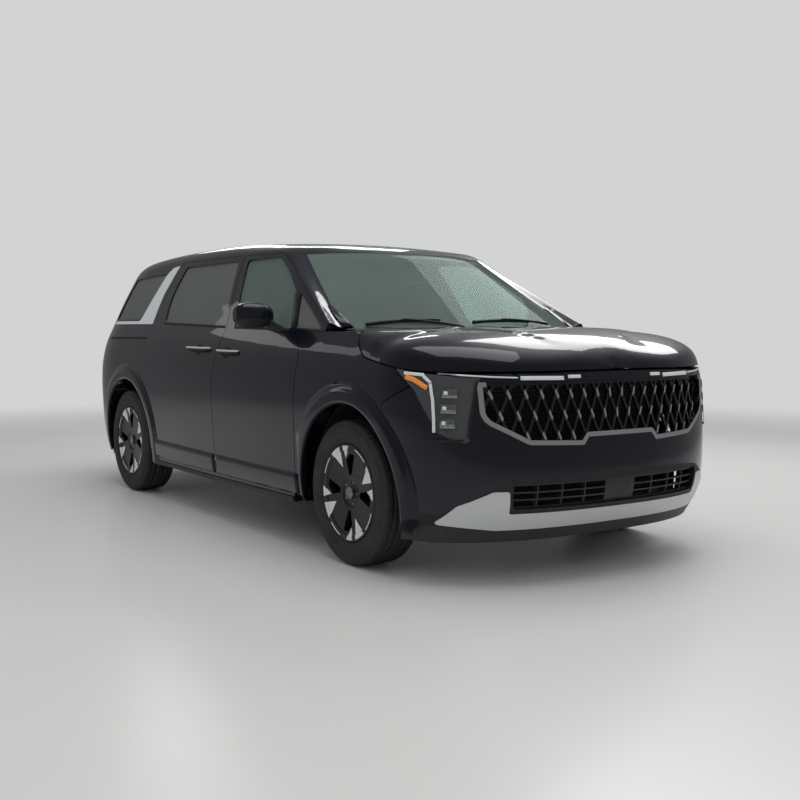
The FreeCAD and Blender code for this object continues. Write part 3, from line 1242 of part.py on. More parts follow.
# Steering wheel on the left, square to its column.
TILT = FreeCAD.Rotation(Vector(0, 1, 0), -65)
WHEEL_AT = Vector(FRONT_AXLE - 965, 380, 1010)
hoop = doc.addObject("Part::Torus", "hoop")
hoop.setExpression("Radius1", "sizes.steering_radius")
hoop.setExpression("Radius2", "sizes.steering_grip")
boss = doc.addObject("Part::Cylinder", "boss")
boss.Radius = 62
boss.Height = 40
boss.Placement = FreeCAD.Placement(Vector(0, 0, -26), FreeCAD.Rotation())
bar = doc.addObject("Part::Box", "bar")
bar.Length = 26
bar.setExpression("Width", "2 * sizes.steering_radius")
bar.Height = 14
bar.setExpression("Placement.Base.x", "-13")
bar.setExpression("Placement.Base.y", "-sizes.steering_radius")
bar.setExpression("Placement.Base.z", "-7")
stem = doc.addObject("Part::Box", "stem")
stem.setExpression("Length", "sizes.steering_radius")
stem.Width = 30
stem.Height = 14
stem.setExpression("Placement.Base.x", "-sizes.steering_radius")
stem.setExpression("Placement.Base.y", "-15")
stem.setExpression("Placement.Base.z", "-7")
steering = doc.addObject("Part::MultiFuse", "steering_wheel")
steering.Label = "steering_wheel"
steering.Shapes = [hoop, boss, bar, stem]
steering.Placement = FreeCAD.Placement(WHEEL_AT, TILT)
NODES.append(steering)
doc.recompute()
column = Part.makeCylinder(27, 260)
column.Placement = FreeCAD.Placement(WHEEL_AT - TILT.multVec(Vector(0, 0, 26 + SEAT + 260)), TILT)
column = column.cut(dash.Shape.translated(Vector(-SEAT, 0, 0)))
feature("steering_column", min(column.Solids, key=lambda s: s.BoundBox.XMin))

ENGINE_FOOT = "sizes.floor_height - sizes.floor_thick"
engine = start_body("engine")
padded(engine, "XZ_Plane", (
    (FRONT_X + " - 260", "360"), (FRONT_X + " - 300", "560"), (FRONT_X + " - 240", "930"),
    (FRONT_X + " + 220", "940"), (FRONT_X + " + 330", "880"), (FRONT_X + " + 330", "420"),
    (FRONT_X + " + 240", ENGINE_FOOT), (FRONT_X + " - 180", ENGINE_FOOT)), "760")

tank = start_body("fuel_tank")
padded(tank, "XZ_Plane", (
    (REAR_X + " + 620", "sizes.floor_height - sizes.floor_thick - 0.3"),
    (REAR_X + " + 1380", "sizes.floor_height - sizes.floor_thick - 0.3"),
    (REAR_X + " + 1340", "195"), (REAR_X + " + 660", "195")), "760")

# Front carrier: two rails, cross members and the lower arms, and the rear arms.
KING = TRACK - size("king_inset")
ARM_REACH = KING - 22 - SEAT
ARM_LOW = 180
carrier = block(FRONT_AXLE - 440, NOSE - 275, 400, 480, FLOOR_LOW - 50, FLOOR_LOW - SEAT)
carrier = carrier.fuse(mirrored(carrier))
carrier = carrier.fuse(block(FRONT_AXLE - 60, FRONT_AXLE + 60, -480, 480, FLOOR_LOW - 50, FLOOR_LOW - SEAT))
carrier = carrier.fuse(block(FRONT_AXLE - 30, FRONT_AXLE + 30, -480, 480, ARM_LOW, FLOOR_LOW - 40))
carrier = carrier.fuse(block(FRONT_AXLE - 30, FRONT_AXLE + 30, -KING - 18, KING + 18, ARM_LOW, ARM_LOW + 20))
for y in (-KING, KING):
    carrier = carrier.fuse(Part.makeCylinder(13, HUB - 165 - SEAT - ARM_LOW, Vector(FRONT_AXLE, y, ARM_LOW)))
carrier = carrier.fuse(block(NOSE - 335, NOSE - 275, -480, 480, FLOOR_LOW - 50, 330))
carrier = carrier.removeSplitter()
feature("front_carrier", carrier)
rear_beam = block(REAR_AXLE - 30, REAR_AXLE + 30, -ARM_REACH, ARM_REACH, 220, 250)
rear_beam = rear_beam.fuse(block(REAR_AXLE - 30, REAR_AXLE + 620, 420, 480, 220, FLOOR_LOW - 0.3))
rear_beam = rear_beam.fuse(mirrored(block(REAR_AXLE - 30, REAR_AXLE + 620, 420, 480, 220, FLOOR_LOW - 0.3)))
feature("rear_carrier", rear_beam.removeSplitter())
PIPE_Y = -430
PIPE_Z = 186
pipe = Part.makeCylinder(24, 3050, Vector(FRONT_AXLE - 560, PIPE_Y, PIPE_Z), Vector(-1, 0, 0))
pipe = pipe.fuse(Part.makeCylinder(52, 430, Vector(TAIL + 860, PIPE_Y, 204), Vector(-1, 0, 0)))
for x in (FRONT_AXLE - 700, TAIL + 700):
    pipe = pipe.fuse(block(x - 6, x + 6, PIPE_Y - 15, PIPE_Y + 15, PIPE_Z, FLOOR_LOW - SEAT))
feature("exhaust", pipe.removeSplitter())


def make_handle(x, z, length):
    y = side_y(x, z)
    half = length / 2
    bow = prism(((x - half, -y + 4), (x - half, -y - 12), (x - half + 40, -y - 32), (x + half - 40, -y - 32),
                 (x + half, -y - 12), (x + half, -y + 4), (x + half - 34, -y + 4), (x + half - 52, -y - 18),
                 (x - half + 52, -y - 18), (x - half + 34, -y + 4)), "xy", z - 12, z + 12, (2, 12, 20, 20, 12, 2, 2, 10, 10, 2))
    return bow


door_seat = patch(skin_point, DOOR_STATIONS, DOOR_HEIGHTS, -SEAT, WALL)
handle_front = largest(make_handle(240, 1053, 290).cut(door_seat))
handle_slide = largest(make_handle(-198, 1065, 350).cut(door_seat))


def mirror_ring(y, x, z, depth, tall):
    ring = rounded(((x - depth / 2, z - tall / 2), (x + depth / 2, z - tall / 2), (x + depth / 2, z + tall / 2),
                    (x - depth / 2, z + tall / 2)), min(depth, tall) * 0.42)
    ring.rotate(Vector(), Vector(1, 0, 0), 90)
    ring.translate(Vector(0, y, 0))
    return ring


mirror_shape = Part.makeLoft([
    mirror_ring(-962, 780, 1262, 90, 92), mirror_ring(-1010, 778, 1266, 118, 132),
    mirror_ring(-1080, 772, 1268, 122, 142), mirror_ring(-1140, 762, 1268, 96, 118),
    mirror_ring(-1166, 754, 1268, 50, 70)], True, False)
foot = Part.makeLoft([mirror_ring(-890, 800, 1172, 130, 28), mirror_ring(-985, 786, 1230, 80, 44)], True, False)
mirror_shape = mirror_shape.fuse(foot)
mirror_shape = largest(mirror_shape.cut(door_seat))

for label, shape in (
    ("handle_front_right", handle_front), ("handle_front_left", mirrored(handle_front)),
    ("sliding_handles", pair(handle_slide)),
    ("mirror_right", mirror_shape), ("mirror_left", mirrored(mirror_shape)),
):
    feature(label, shape)

doc.recompute()
os.makedirs("parts", exist_ok=True)
failed = [o.Name for o in doc.Objects if "Invalid" in o.State or "Error" in o.State]
if failed:
    raise RuntimeError("failed features: %s" % failed)
for node in NODES:
    shape = node.Shape
    if shape.isNull() or not shape.isValid():
        raise RuntimeError("bad shape: %s" % node.Label)
for node in NODES:
    node.Shape.exportStep("parts/%s.step" % node.Label)
    print(node.Label, len(node.Shape.Solids), round(node.Shape.Volume / 1e6, 2))
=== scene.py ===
import json
import math

import bmesh
import bpy
from mathutils import Matrix, Vector
from mathutils.bvhtree import BVHTree


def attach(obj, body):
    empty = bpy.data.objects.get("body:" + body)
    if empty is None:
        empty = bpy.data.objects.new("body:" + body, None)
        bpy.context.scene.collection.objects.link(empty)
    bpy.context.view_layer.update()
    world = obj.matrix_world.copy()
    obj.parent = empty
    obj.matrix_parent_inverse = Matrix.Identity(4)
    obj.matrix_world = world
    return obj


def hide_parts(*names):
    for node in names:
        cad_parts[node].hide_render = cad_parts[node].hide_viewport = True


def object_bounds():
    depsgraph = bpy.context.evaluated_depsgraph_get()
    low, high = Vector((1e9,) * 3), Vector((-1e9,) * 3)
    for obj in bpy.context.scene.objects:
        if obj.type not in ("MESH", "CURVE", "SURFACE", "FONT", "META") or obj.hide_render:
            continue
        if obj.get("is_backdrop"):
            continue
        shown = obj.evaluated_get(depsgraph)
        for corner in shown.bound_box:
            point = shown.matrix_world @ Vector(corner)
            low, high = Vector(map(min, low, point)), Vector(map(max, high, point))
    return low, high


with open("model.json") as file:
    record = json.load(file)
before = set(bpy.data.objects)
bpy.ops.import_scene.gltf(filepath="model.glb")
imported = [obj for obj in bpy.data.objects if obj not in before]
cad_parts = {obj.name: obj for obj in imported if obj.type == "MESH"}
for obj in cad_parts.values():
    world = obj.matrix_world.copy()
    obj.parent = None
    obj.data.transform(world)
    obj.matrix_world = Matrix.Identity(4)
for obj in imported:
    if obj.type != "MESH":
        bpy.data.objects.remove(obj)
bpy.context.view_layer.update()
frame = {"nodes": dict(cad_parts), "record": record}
NODES = frame["nodes"]

# Wheel places in metres: both axles along X, the wheel centres above the floor and from the middle plane
FRONT_AXLE = 1.6275
REAR_AXLE = -1.4625
HUB = 0.3695
TRACK = 0.863
SIDES = ((-1, "right"), (1, "left"))
ACROSS = Vector((0, 1, 0))
UP = Vector((0, 0, 1))


def mix(a, b, t):
    return a + (b - a) * t


# Materials

PAINT_TONES = ((0.0025, 0.003, 0.0085), (0.006, 0.007, 0.019))
PLASTIC_TONES = ((0.012, 0.012, 0.013), (0.02, 0.02, 0.021))
COAT = {"Coat Roughness": 0.03, "Coat IOR": 1.36}
GRAIN_DEPTH = 0.0006
COLOUR_A, COLOUR_B, COLOUR_RESULT = 6, 7, 2

# Heights at which a piece changes its material; the bumper's depends on the distance from the middle
LOWER_EDGE = (
    (0.0, 0.524), (0.38, 0.52), (0.605, 0.503), (0.68, 0.468), (0.758, 0.4216), (0.822, 0.377),
    (0.869, 0.344), (0.914, 0.337), (1.0, 0.337),
)
HANDLE_LINE = 1.0545
SLIDE_HANDLE_LINE = 1.0665
MIRROR_LINE = 1.246


def new_material(name):
    """Material with one principled shader; also gives its node tree and the shader."""
    mat = bpy.data.materials.new(name)
    mat.use_nodes = True
    tree = mat.node_tree
    tree.nodes.clear()
    out = tree.nodes.new("ShaderNodeOutputMaterial")
    shader = tree.nodes.new("ShaderNodeBsdfPrincipled")
    tree.links.new(shader.outputs[0], out.inputs["Surface"])
    return mat, tree, shader


def blend_shaders(tree, first, second):
    """Show a blend of two shaders; gives the socket that says how much of the second is seen."""
    mixer = tree.nodes.new("ShaderNodeMixShader")
    tree.links.new(first.outputs[0], mixer.inputs[1])
    tree.links.new(second.outputs[0], mixer.inputs[2])
    out = next(n for n in tree.nodes if n.type == "OUTPUT_MATERIAL")
    tree.links.new(mixer.outputs[0], out.inputs["Surface"])
    return mixer.inputs["Fac"]


def set_inputs(shader, values):
    for name, value in values.items():
        shader.inputs[name].default_value = value


def coordinates(tree):
    return tree.nodes.new("ShaderNodeTexCoord").outputs["Object"]


def axes_of(tree):
    """The part's X, Y and Z as three sockets."""
    split = tree.nodes.new("ShaderNodeSeparateXYZ")
    tree.links.new(coordinates(tree), split.inputs[0])
    return split.outputs


def noise(tree, scale, detail):
    node = tree.nodes.new("ShaderNodeTexNoise")
    node.inputs["Scale"].default_value = scale
    node.inputs["Detail"].default_value = detail
    tree.links.new(coordinates(tree), node.inputs["Vector"])
    return node.outputs["Fac"]


def ramp(tree, source, stops):
    node = tree.nodes.new("ShaderNodeValToRGB")
    bar = node.color_ramp
    while len(bar.elements) < len(stops):
        bar.elements.new(0.5)
    for element, (place, colour) in zip(bar.elements, stops):
        element.position = place
        element.color = (*colour, 1)
    tree.links.new(source, node.inputs["Fac"])
    return node.outputs["Color"]


def spread(tree, source, low, high):
    """Value from low to high as the source goes from 0 to 1."""
    node = tree.nodes.new("ShaderNodeMapRange")
    node.inputs["To Min"].default_value = low
    node.inputs["To Max"].default_value = high
    tree.links.new(source, node.inputs["Value"])
    return node.outputs["Result"]


def bump(tree, shader, source, strength, distance):
    node = tree.nodes.new("ShaderNodeBump")
    node.inputs["Strength"].default_value = strength
    node.inputs["Distance"].default_value = distance
    tree.links.new(source, node.inputs["Height"])
    tree.links.new(node.outputs["Normal"], shader.inputs["Normal"])


def math_node(tree, operation, *values):
    node = tree.nodes.new("ShaderNodeMath")
    node.operation = operation
    for socket, value in zip(node.inputs, values):
        if isinstance(value, (int, float)):
            socket.default_value = value
        else:
            tree.links.new(value, socket)
    return node.outputs[0]


def flakes(tree):
    dark, light = PAINT_TONES
    return ramp(tree, noise(tree, 900, 2.0), [(0.42, dark), (0.62, light)])


def mottle(tree, dark, light):
    return ramp(tree, noise(tree, 14, 3.0), [(0.3, dark), (0.7, light)])


def make_paint(name):
    """Metallic paint with fine flakes under a clear coat."""
    mat, tree, shader = new_material(name)
    tree.links.new(flakes(tree), shader.inputs["Base Color"])
    tree.links.new(spread(tree, noise(tree, 3.0, 3.0), 0.34, 0.4), shader.inputs["Roughness"])
    set_inputs(shader, {"Metallic": 0.4, "Specular IOR Level": 0.15, "Coat Weight": 1.0, **COAT})
    bump(tree, shader, noise(tree, 500, 2.0), 0.02, 0.0004)
    return mat


def make_split(name, mask_of):
    """Paint where the mask is 1, above a line, and black plastic below it."""
    mat, tree, shader = new_material(name)
    mask = mask_of(tree, axes_of(tree))
    blend = tree.nodes.new("ShaderNodeMix")
    blend.data_type = "RGBA"
    tree.links.new(mask, blend.inputs[0])
    tree.links.new(mottle(tree, *PLASTIC_TONES), blend.inputs[COLOUR_A])
    tree.links.new(flakes(tree), blend.inputs[COLOUR_B])
    tree.links.new(blend.outputs[COLOUR_RESULT], shader.inputs["Base Color"])
    tree.links.new(spread(tree, mask, 0.55, 0.36), shader.inputs["Roughness"])
    tree.links.new(spread(tree, mask, 0.0, 0.4), shader.inputs["Metallic"])
    tree.links.new(mask, shader.inputs["Coat Weight"])
    set_inputs(shader, {"Specular IOR Level": 0.3, **COAT})
    grain = math_node(tree, "MULTIPLY", noise(tree, 260, 3.0), spread(tree, mask, 1.0, 0.05))
    bump(tree, shader, grain, 0.15, GRAIN_DEPTH)
    return mat


def bumper_mask(tree, axes):
    """1 above the bumper's line, whose height depends on the distance from the middle plane."""
    reach = math_node(tree, "ABSOLUTE", axes[1])
    line = ramp(tree, reach, [(y, (z, z, z)) for y, z in LOWER_EDGE])
    return math_node(tree, "GREATER_THAN", axes[2], line)


def height_mask(level):
    return lambda tree, axes: math_node(tree, "GREATER_THAN", axes[2], level)


def make_handle(name, level):
    """Bright bar above a height and black below it."""
    mat, tree, shader = new_material(name)
    mask = height_mask(level)(tree, axes_of(tree))
    shade = math_node(tree, "MULTIPLY", mask, spread(tree, noise(tree, 300, 2.0), 0.66, 0.76))
    tone = ramp(tree, shade, [(0.0, (0.01, 0.01, 0.011)), (1.0, (1, 1, 1))])
    tree.links.new(tone, shader.inputs["Base Color"])
    tree.links.new(spread(tree, mask, 0.45, 0.2), shader.inputs["Roughness"])
    tree.links.new(spread(tree, mask, 0.0, 0.4), shader.inputs["Metallic"])
    return mat


def make_plastic(name, dark, light, rough, grain=260.0, strength=0.15):
    mat, tree, shader = new_material(name)
    tree.links.new(mottle(tree, dark, light), shader.inputs["Base Color"])
    wear = spread(tree, noise(tree, 30, 2.0), rough - 0.05, rough + 0.06)
    tree.links.new(wear, shader.inputs["Roughness"])
    bump(tree, shader, noise(tree, grain, 3.0), strength, GRAIN_DEPTH)
    return mat


def make_metal(name, dark, light, rough, metallic=1.0, streak=60.0):
    mat, tree, shader = new_material(name)
    tone = ramp(tree, noise(tree, streak, 3.0), [(0.35, dark), (0.65, light)])
    tree.links.new(tone, shader.inputs["Base Color"])
    wear = spread(tree, noise(tree, streak * 2, 2.0), rough - 0.04, rough + 0.05)
    tree.links.new(wear, shader.inputs["Roughness"])
    set_inputs(shader, {"Metallic": metallic})
    return mat


def make_glass(name, colour, cover, rough):
    """See-through tint, with the share of the reflecting face that covers it."""
    mat, tree, shader = new_material(name)
    clear = tree.nodes.new("ShaderNodeBsdfTransparent")
    tint = ramp(tree, noise(tree, 2.0, 1.0), [(0.3, colour), (0.7, tuple(c * 1.06 for c in colour))])
    tree.links.new(tint, shader.inputs["Base Color"])
    tree.links.new(tint, clear.inputs["Color"])
    set_inputs(shader, {"Roughness": rough, "IOR": 1.5})
    blend_shaders(tree, clear, shader).default_value = cover
    return mat


def make_glow(name, colour, strength):
    """Lamp part that looks lit from inside."""
    mat = make_plastic(name, colour, tuple(min(1, c * 1.12) for c in colour), 0.2, 60.0, 0.03)
    shader = next(n for n in mat.node_tree.nodes if n.type == "BSDF_PRINCIPLED")
    set_inputs(shader, {"Emission Color": (*colour, 1), "Emission Strength": strength})
    return mat


PAINT = make_paint("paint")
TRIM = make_plastic("dark_trim", *PLASTIC_TONES, 0.52)
SEAL = make_plastic("black_rubber", (0.004, 0.004, 0.0042), (0.008, 0.008, 0.0082), 0.6, 300.0, 0.2)
GLOSS = make_plastic("black_gloss", (0.005, 0.005, 0.006), (0.009, 0.009, 0.010), 0.2, 90.0, 0.03)
SILVER = make_metal("silver_trim", (0.54, 0.55, 0.555), (0.58, 0.59, 0.595), 0.42, 0.4, 500.0)
FIN = make_metal("satin_fin", (0.66, 0.68, 0.7), (0.72, 0.74, 0.76), 0.4, 0.3, 400.0)
CHROME = make_metal("chrome_trim", (0.62, 0.625, 0.615), (0.68, 0.685, 0.67), 0.18, 1.0, 400.0)
ALLOY = make_metal("wheel_alloy", (0.012, 0.012, 0.013), (0.022, 0.022, 0.023), 0.3, 0.5)
MACHINED = make_metal("machined_face", (0.66, 0.66, 0.655), (0.76, 0.76, 0.755), 0.34, 0.35, 220.0)
NUT = make_metal("nuts", (0.16, 0.16, 0.162), (0.26, 0.26, 0.262), 0.3, 0.9)
IRON = make_metal("iron", (0.05, 0.05, 0.052), (0.09, 0.088, 0.086), 0.6, 0.7, 24.0)
STEEL = make_metal("steel", (0.3, 0.3, 0.31), (0.4, 0.4, 0.41), 0.35)
TYRE = make_plastic("tyre_rubber", (0.014, 0.0145, 0.0145), (0.024, 0.0245, 0.024), 0.72, 420.0, 0.25)
CLOTH = make_plastic("seat_cloth", (0.03, 0.031, 0.031), (0.048, 0.048, 0.047), 0.8, 700.0, 0.5)
CABIN = make_plastic("cabin_trim", (0.018, 0.0185, 0.019), (0.03, 0.03, 0.031), 0.6, 320.0, 0.3)
RED = make_plastic("red_lamp", (0.16, 0.004, 0.006), (0.22, 0.008, 0.01), 0.12, 60.0, 0.05)
LIGHT = make_glow("light_bar", (0.56, 0.58, 0.58), 0.08)
AMBER = make_glow("amber_lens", (0.75, 0.25, 0.03), 0.06)
LED = make_metal("lamp_reflector", (0.16, 0.165, 0.17), (0.3, 0.305, 0.31), 0.25, 0.9, 90.0)
CLEAR = make_glass("clear_glass", (0.6, 0.7, 0.66), 0.12, 0.02)
FRONT_SIDE = make_glass("front_side_glass", (0.6, 0.7, 0.66), 0.13, 0.02)
PRIVACY = make_glass("dark_glass", (0.2, 0.208, 0.206), 0.52, 0.03)
LENS = make_glass("lamp_glass", (0.6, 0.61, 0.62), 0.08, 0.01)
BUMPER = make_split("bumper_paint", bumper_mask)
HANDLE = make_handle("front_handle", HANDLE_LINE)
SLIDE_HANDLE = make_handle("slide_handle", SLIDE_HANDLE_LINE)
MIRROR = make_split("mirror_paint", height_mask(MIRROR_LINE))

BY_SLOT = {
    "paint": PAINT, "dark_trim": TRIM, "silver_trim": SILVER, "chrome_trim": CHROME,
    "clear_glass": CLEAR, "dark_glass": PRIVACY, "lamp_glass": LENS, "red_lamp": RED,
    "tyre_rubber": TYRE, "wheel_alloy": ALLOY, "iron": IRON, "steel": STEEL, "seat_cloth": CLOTH,
}
BY_NODE = {
    "front_glass_right": FRONT_SIDE, "front_glass_left": FRONT_SIDE, "grille": GLOSS,
    "lower_grille": TRIM, "handle_front_right": HANDLE, "handle_front_left": HANDLE,
    "sliding_handles": SLIDE_HANDLE, "pillar_fins": FIN, "front_bumper": BUMPER,
    "mirror_right": MIRROR, "mirror_left": MIRROR, "lamp_units": CABIN, "dashboard": CABIN,
}
slots = {row["node"]: row["material_slot"] for row in frame["record"]["subparts"]}
for name, obj in NODES.items():
    obj.data.materials.clear()
    obj.data.materials.append(BY_NODE.get(name, BY_SLOT[slots[name]]))


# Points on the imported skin

# Rays start outside the part; where one falls into a seam, a probe beside it may lie further out
START_Y = 1.3
START_X = 3.0
START_Z = 2.2
FURTHER = 0.004
SIDE_PROBES = ((0, 0), (0.007, 0), (-0.007, 0), (0, 0.007), (0, -0.007))
NOSE_PROBES = ((0, 0), (0.006, 0), (-0.006, 0), (0, 0.006), (0, -0.006))
NO_SKIN_Y = 0.95


def surface(names):
    """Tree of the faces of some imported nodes, for rays."""
    verts, polys = [], []
    for name in names:
        base = len(verts)
        verts += [v.co.copy() for v in NODES[name].data.vertices]
        polys += [[base + i for i in p.vertices] for p in NODES[name].data.polygons]
    return BVHTree.FromPolygons(verts, polys)


SKIN = surface((
    "body_side_right", "body_side_left", "front_door_right", "front_door_left", "sliding_door_right",
    "sliding_door_left", "front_fenders", "front_bumper", "rear_bumper", "side_glass",
    "front_glass_right", "front_glass_left", "headlamps", "tail_lamps", "tailgate",
))
NOSE_SKIN = surface(("front_bumper", "headlamps", "hood", "front_fenders"))
TOP_SKIN = surface(("windshield", "hood", "cowl_panel", "roof"))
RIM_SKIN = surface(("rim_front_right",))


def side_point(x, z, side):
    """Point and normal of the body side at x and z; side is the sign of Y."""
    best = None
    for dx, dz in SIDE_PROBES:
        hit = SKIN.ray_cast(Vector((x + dx, side * START_Y, z + dz)), Vector((0, -side, 0)))
        if hit[0] is not None and (best is None or abs(hit[0].y) > abs(best[0]) + FURTHER):
            best = (hit[0].y, hit[1])
    if best is None:
        return Vector((x, side * NO_SKIN_Y, z)), Vector((0, side, 0))
    y, normal = best
    if normal.y * side < 0:
        normal = -normal
    return Vector((x, y, z)), normal


def nose_point(y, z):
    """Point and normal of the nose at y and z, or None where no skin is met."""
    best = None
    for dy, dz in NOSE_PROBES:
        hit = NOSE_SKIN.ray_cast(Vector((START_X, y + dy, z + dz)), Vector((-1, 0, 0)))
        if hit[0] is not None and (best is None or hit[0].x > best[0] + FURTHER):
            best = (hit[0].x, hit[1])
    if best is None:
        return None
    x, normal = best
    if normal.x < 0:
        normal = -normal
    return Vector((x, y, z)), normal


def top_point(x, y, out):
    """Point a distance above the skin at x and y, and the skin's normal."""
    hit = TOP_SKIN.ray_cast(Vector((x, y, START_Z)), -UP)
    normal = hit[1] if hit[1].z > 0 else -hit[1]
    return hit[0] + normal * out, normal


# Meshes

BEVEL_SHARE = 0.25
NOSE_GAP = 0.015
ROD_SIDES = 8


def make_mesh(name, verts, faces, mat, body="body", smooth=True):
    """Visible piece that rides a body."""
    mesh = bpy.data.meshes.new(name)
    mesh.from_pydata([tuple(v) for v in verts], [], faces)
    mesh.materials.append(mat)
    work = bmesh.new()
    work.from_mesh(mesh)
    bmesh.ops.recalc_face_normals(work, faces=work.faces)
    work.to_mesh(mesh)
    work.free()
    for face in mesh.polygons:
        face.use_smooth = smooth
    obj = bpy.data.objects.new(name, mesh)
    bpy.context.scene.collection.objects.link(obj)
    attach(obj, body)
    return obj


def grid_faces(rows, columns, closed_rows=False, closed_columns=False):
    """Quads between rows and columns of points, closed round where asked."""
    faces = []
    for i in range(rows if closed_rows else rows - 1):
        for j in range(columns if closed_columns else columns - 1):
            a, b = i, (i + 1) % rows
            c, d = j, (j + 1) % columns
            faces.append((a * columns + c, a * columns + d, b * columns + d, b * columns + c))
    return faces


def sweep(name, spots, profile, mat, body="body"):
    """Tube with a closed profile of (across, out) along spots of (point, across, out direction)."""
    verts = [p + a * u + n * w for p, a, n in spots for u, w in profile]
    count = len(profile)
    last = (len(spots) - 1) * count
    faces = grid_faces(len(spots), count, closed_columns=True)
    faces += [tuple(range(count)), tuple(last + i for i in reversed(range(count)))]
    return make_mesh(name, verts, faces, mat, body)


def bar_profile(width, low, high):
    """Profile of a flat bar with bevelled upper corners."""
    half, cut = width / 2, min(width, high - low) * BEVEL_SHARE
    return [(-half, low), (half, low), (half, high - cut), (half - cut, high), (cut - half, high),
            (-half, high - cut)]


def along(points, gap):
    """Evenly spaced points on a polyline of tuples."""
    out = []
    for a, b in zip(points, points[1:]):
        length = math.dist(a, b)
        steps = max(1, round(length / gap))
        out += [tuple(p + (q - p) * i / steps for p, q in zip(a, b)) for i in range(steps)]
    return out + [points[-1]]


def framed(spots):
    """Path points with their normals, turned into sweep frames."""
    out = []
    for i, (point, normal) in enumerate(spots):
        run = spots[min(i + 1, len(spots) - 1)][0] - spots[max(i - 1, 0)][0]
        across = run.cross(normal).normalized()
        if across.z < -0.5:
            across = -across
        out.append((point, across, normal))
    return out


def side_strip(name, path, width, low, high, side, mat, body="body", gap=0.02):
    """Flat bar along (x, z) points of the body side, from low to high above the skin."""
    spots = [side_point(x, z, side) for x, z in along(path, gap)]
    return sweep(name, framed(spots), bar_profile(width, low, high), mat, body)


def nose_strip(name, path, width, low, high, mat):
    """Flat bar along (y, z) points of the nose."""
    spots = [spot for spot in (nose_point(y, z) for y, z in along(path, NOSE_GAP)) if spot]
    return sweep(name, framed(spots), bar_profile(width, low, high), mat)


def rod(name, points, radius, mat, taper=1.0):
    """Round rod along points, thinner towards its end by the taper."""
    verts = []
    for i, p in enumerate(points):
        run = (points[min(i + 1, len(points) - 1)] - points[max(i - 1, 0)]).normalized()
        side = run.cross(UP).normalized() if abs(run.z) < 0.95 else ACROSS
        lift = side.cross(run)
        r = radius * (1 + (taper - 1) * i / (len(points) - 1))
        for k in range(ROD_SIDES):
            a = 2 * math.pi * k / ROD_SIDES
            verts.append(p + side * r * math.cos(a) + lift * r * math.sin(a))
    last = (len(points) - 1) * ROD_SIDES
    faces = grid_faces(len(points), ROD_SIDES, closed_columns=True)
    faces += [tuple(range(ROD_SIDES)), tuple(last + k for k in range(ROD_SIDES))]
    return make_mesh(name, verts, faces, mat)


def pillow(centre, ax, ay, az, sizes, power, crown, steps=12):
    """Rounded block: half sizes along three directions; the power rounds it, the crown lifts it."""
    verts, faces, seen = [], [], {}

    def place(p):
        key = tuple(round(c, 5) for c in p)
        if key not in seen:
            length = sum(abs(c) ** power for c in p) ** (1 / power)
            u, v, w = (c / length for c in p)
            lift = 1 + crown * (1 - u * u) * (1 - v * v)
            seen[key] = len(verts)
            verts.append(centre + ax * (u * sizes[0]) + ay * (v * sizes[1]) + az * (w * sizes[2] * lift))
        return seen[key]

    line = [-1 + 2 * i / steps for i in range(steps + 1)]
    for axis in range(3):
        for sign in (-1, 1):
            for i in range(steps):
                for j in range(steps):
                    quad = []
                    for a, b in ((i, j), (i + 1, j), (i + 1, j + 1), (i, j + 1)):
                        p = [0, 0, 0]
                        p[axis] = sign
                        p[(axis + 1) % 3] = line[a]
                        p[(axis + 2) % 3] = line[b]
                        quad.append(place(p))
                    faces.append(tuple(quad))
    return verts, faces


# Flared bands round the wheel arches

ARCH = 0.452
ARCH_START = 0.004
ARCH_CLEAR = 0.008
FLARE_REACH = 0.56
DOOR_REACH = 0.499
FLARE_ANGLES = range(-14, 195, 3)
# Section of the band: share of the way from the arch to its outer edge, and height above the skin
LIP = (
    (0.0, -0.016), (0.0, 0.009), (0.03, 0.0125), (0.12, 0.0125), (0.50, 0.0135), (0.56, 0.0125),
    (0.64, 0.008), (0.85, 0.003), (1.0, 0.0006), (1.0, -0.003),
)


def make_arch_flare(name, axle, side, door_side):
    """Raised band round an arch; the door beside it, if any, limits how far it reaches."""
    verts = []
    for angle in FLARE_ANGLES:
        a = math.radians(angle)
        limit = FLARE_REACH
        if door_side and math.cos(a) * door_side > 0:
            limit = min(limit, DOOR_REACH / max(math.cos(a) * door_side, 1e-6))
        for share, out in LIP:
            radius = mix(ARCH + ARCH_START, limit, share)
            reach = max(radius, ARCH + ARCH_CLEAR)
            x, z = axle + reach * math.cos(a), HUB + reach * math.sin(a)
            point, _ = side_point(x, z, side)
            slide = radius - reach
            verts.append((point.x + slide * math.cos(a), point.y + side * out,
                          point.z + slide * math.sin(a)))
    return make_mesh(name, verts, grid_faces(len(FLARE_ANGLES), len(LIP)), PAINT)


for side, word in SIDES:
    make_arch_flare("arch_flare_front_" + word, FRONT_AXLE, side, -1)
    make_arch_flare("arch_flare_rear_" + word, REAR_AXLE, side, 0)


# Wheels: tyres with their tread, machined faces, nuts and caps

GROOVE = 0.0075
TREAD_STEPS = 300
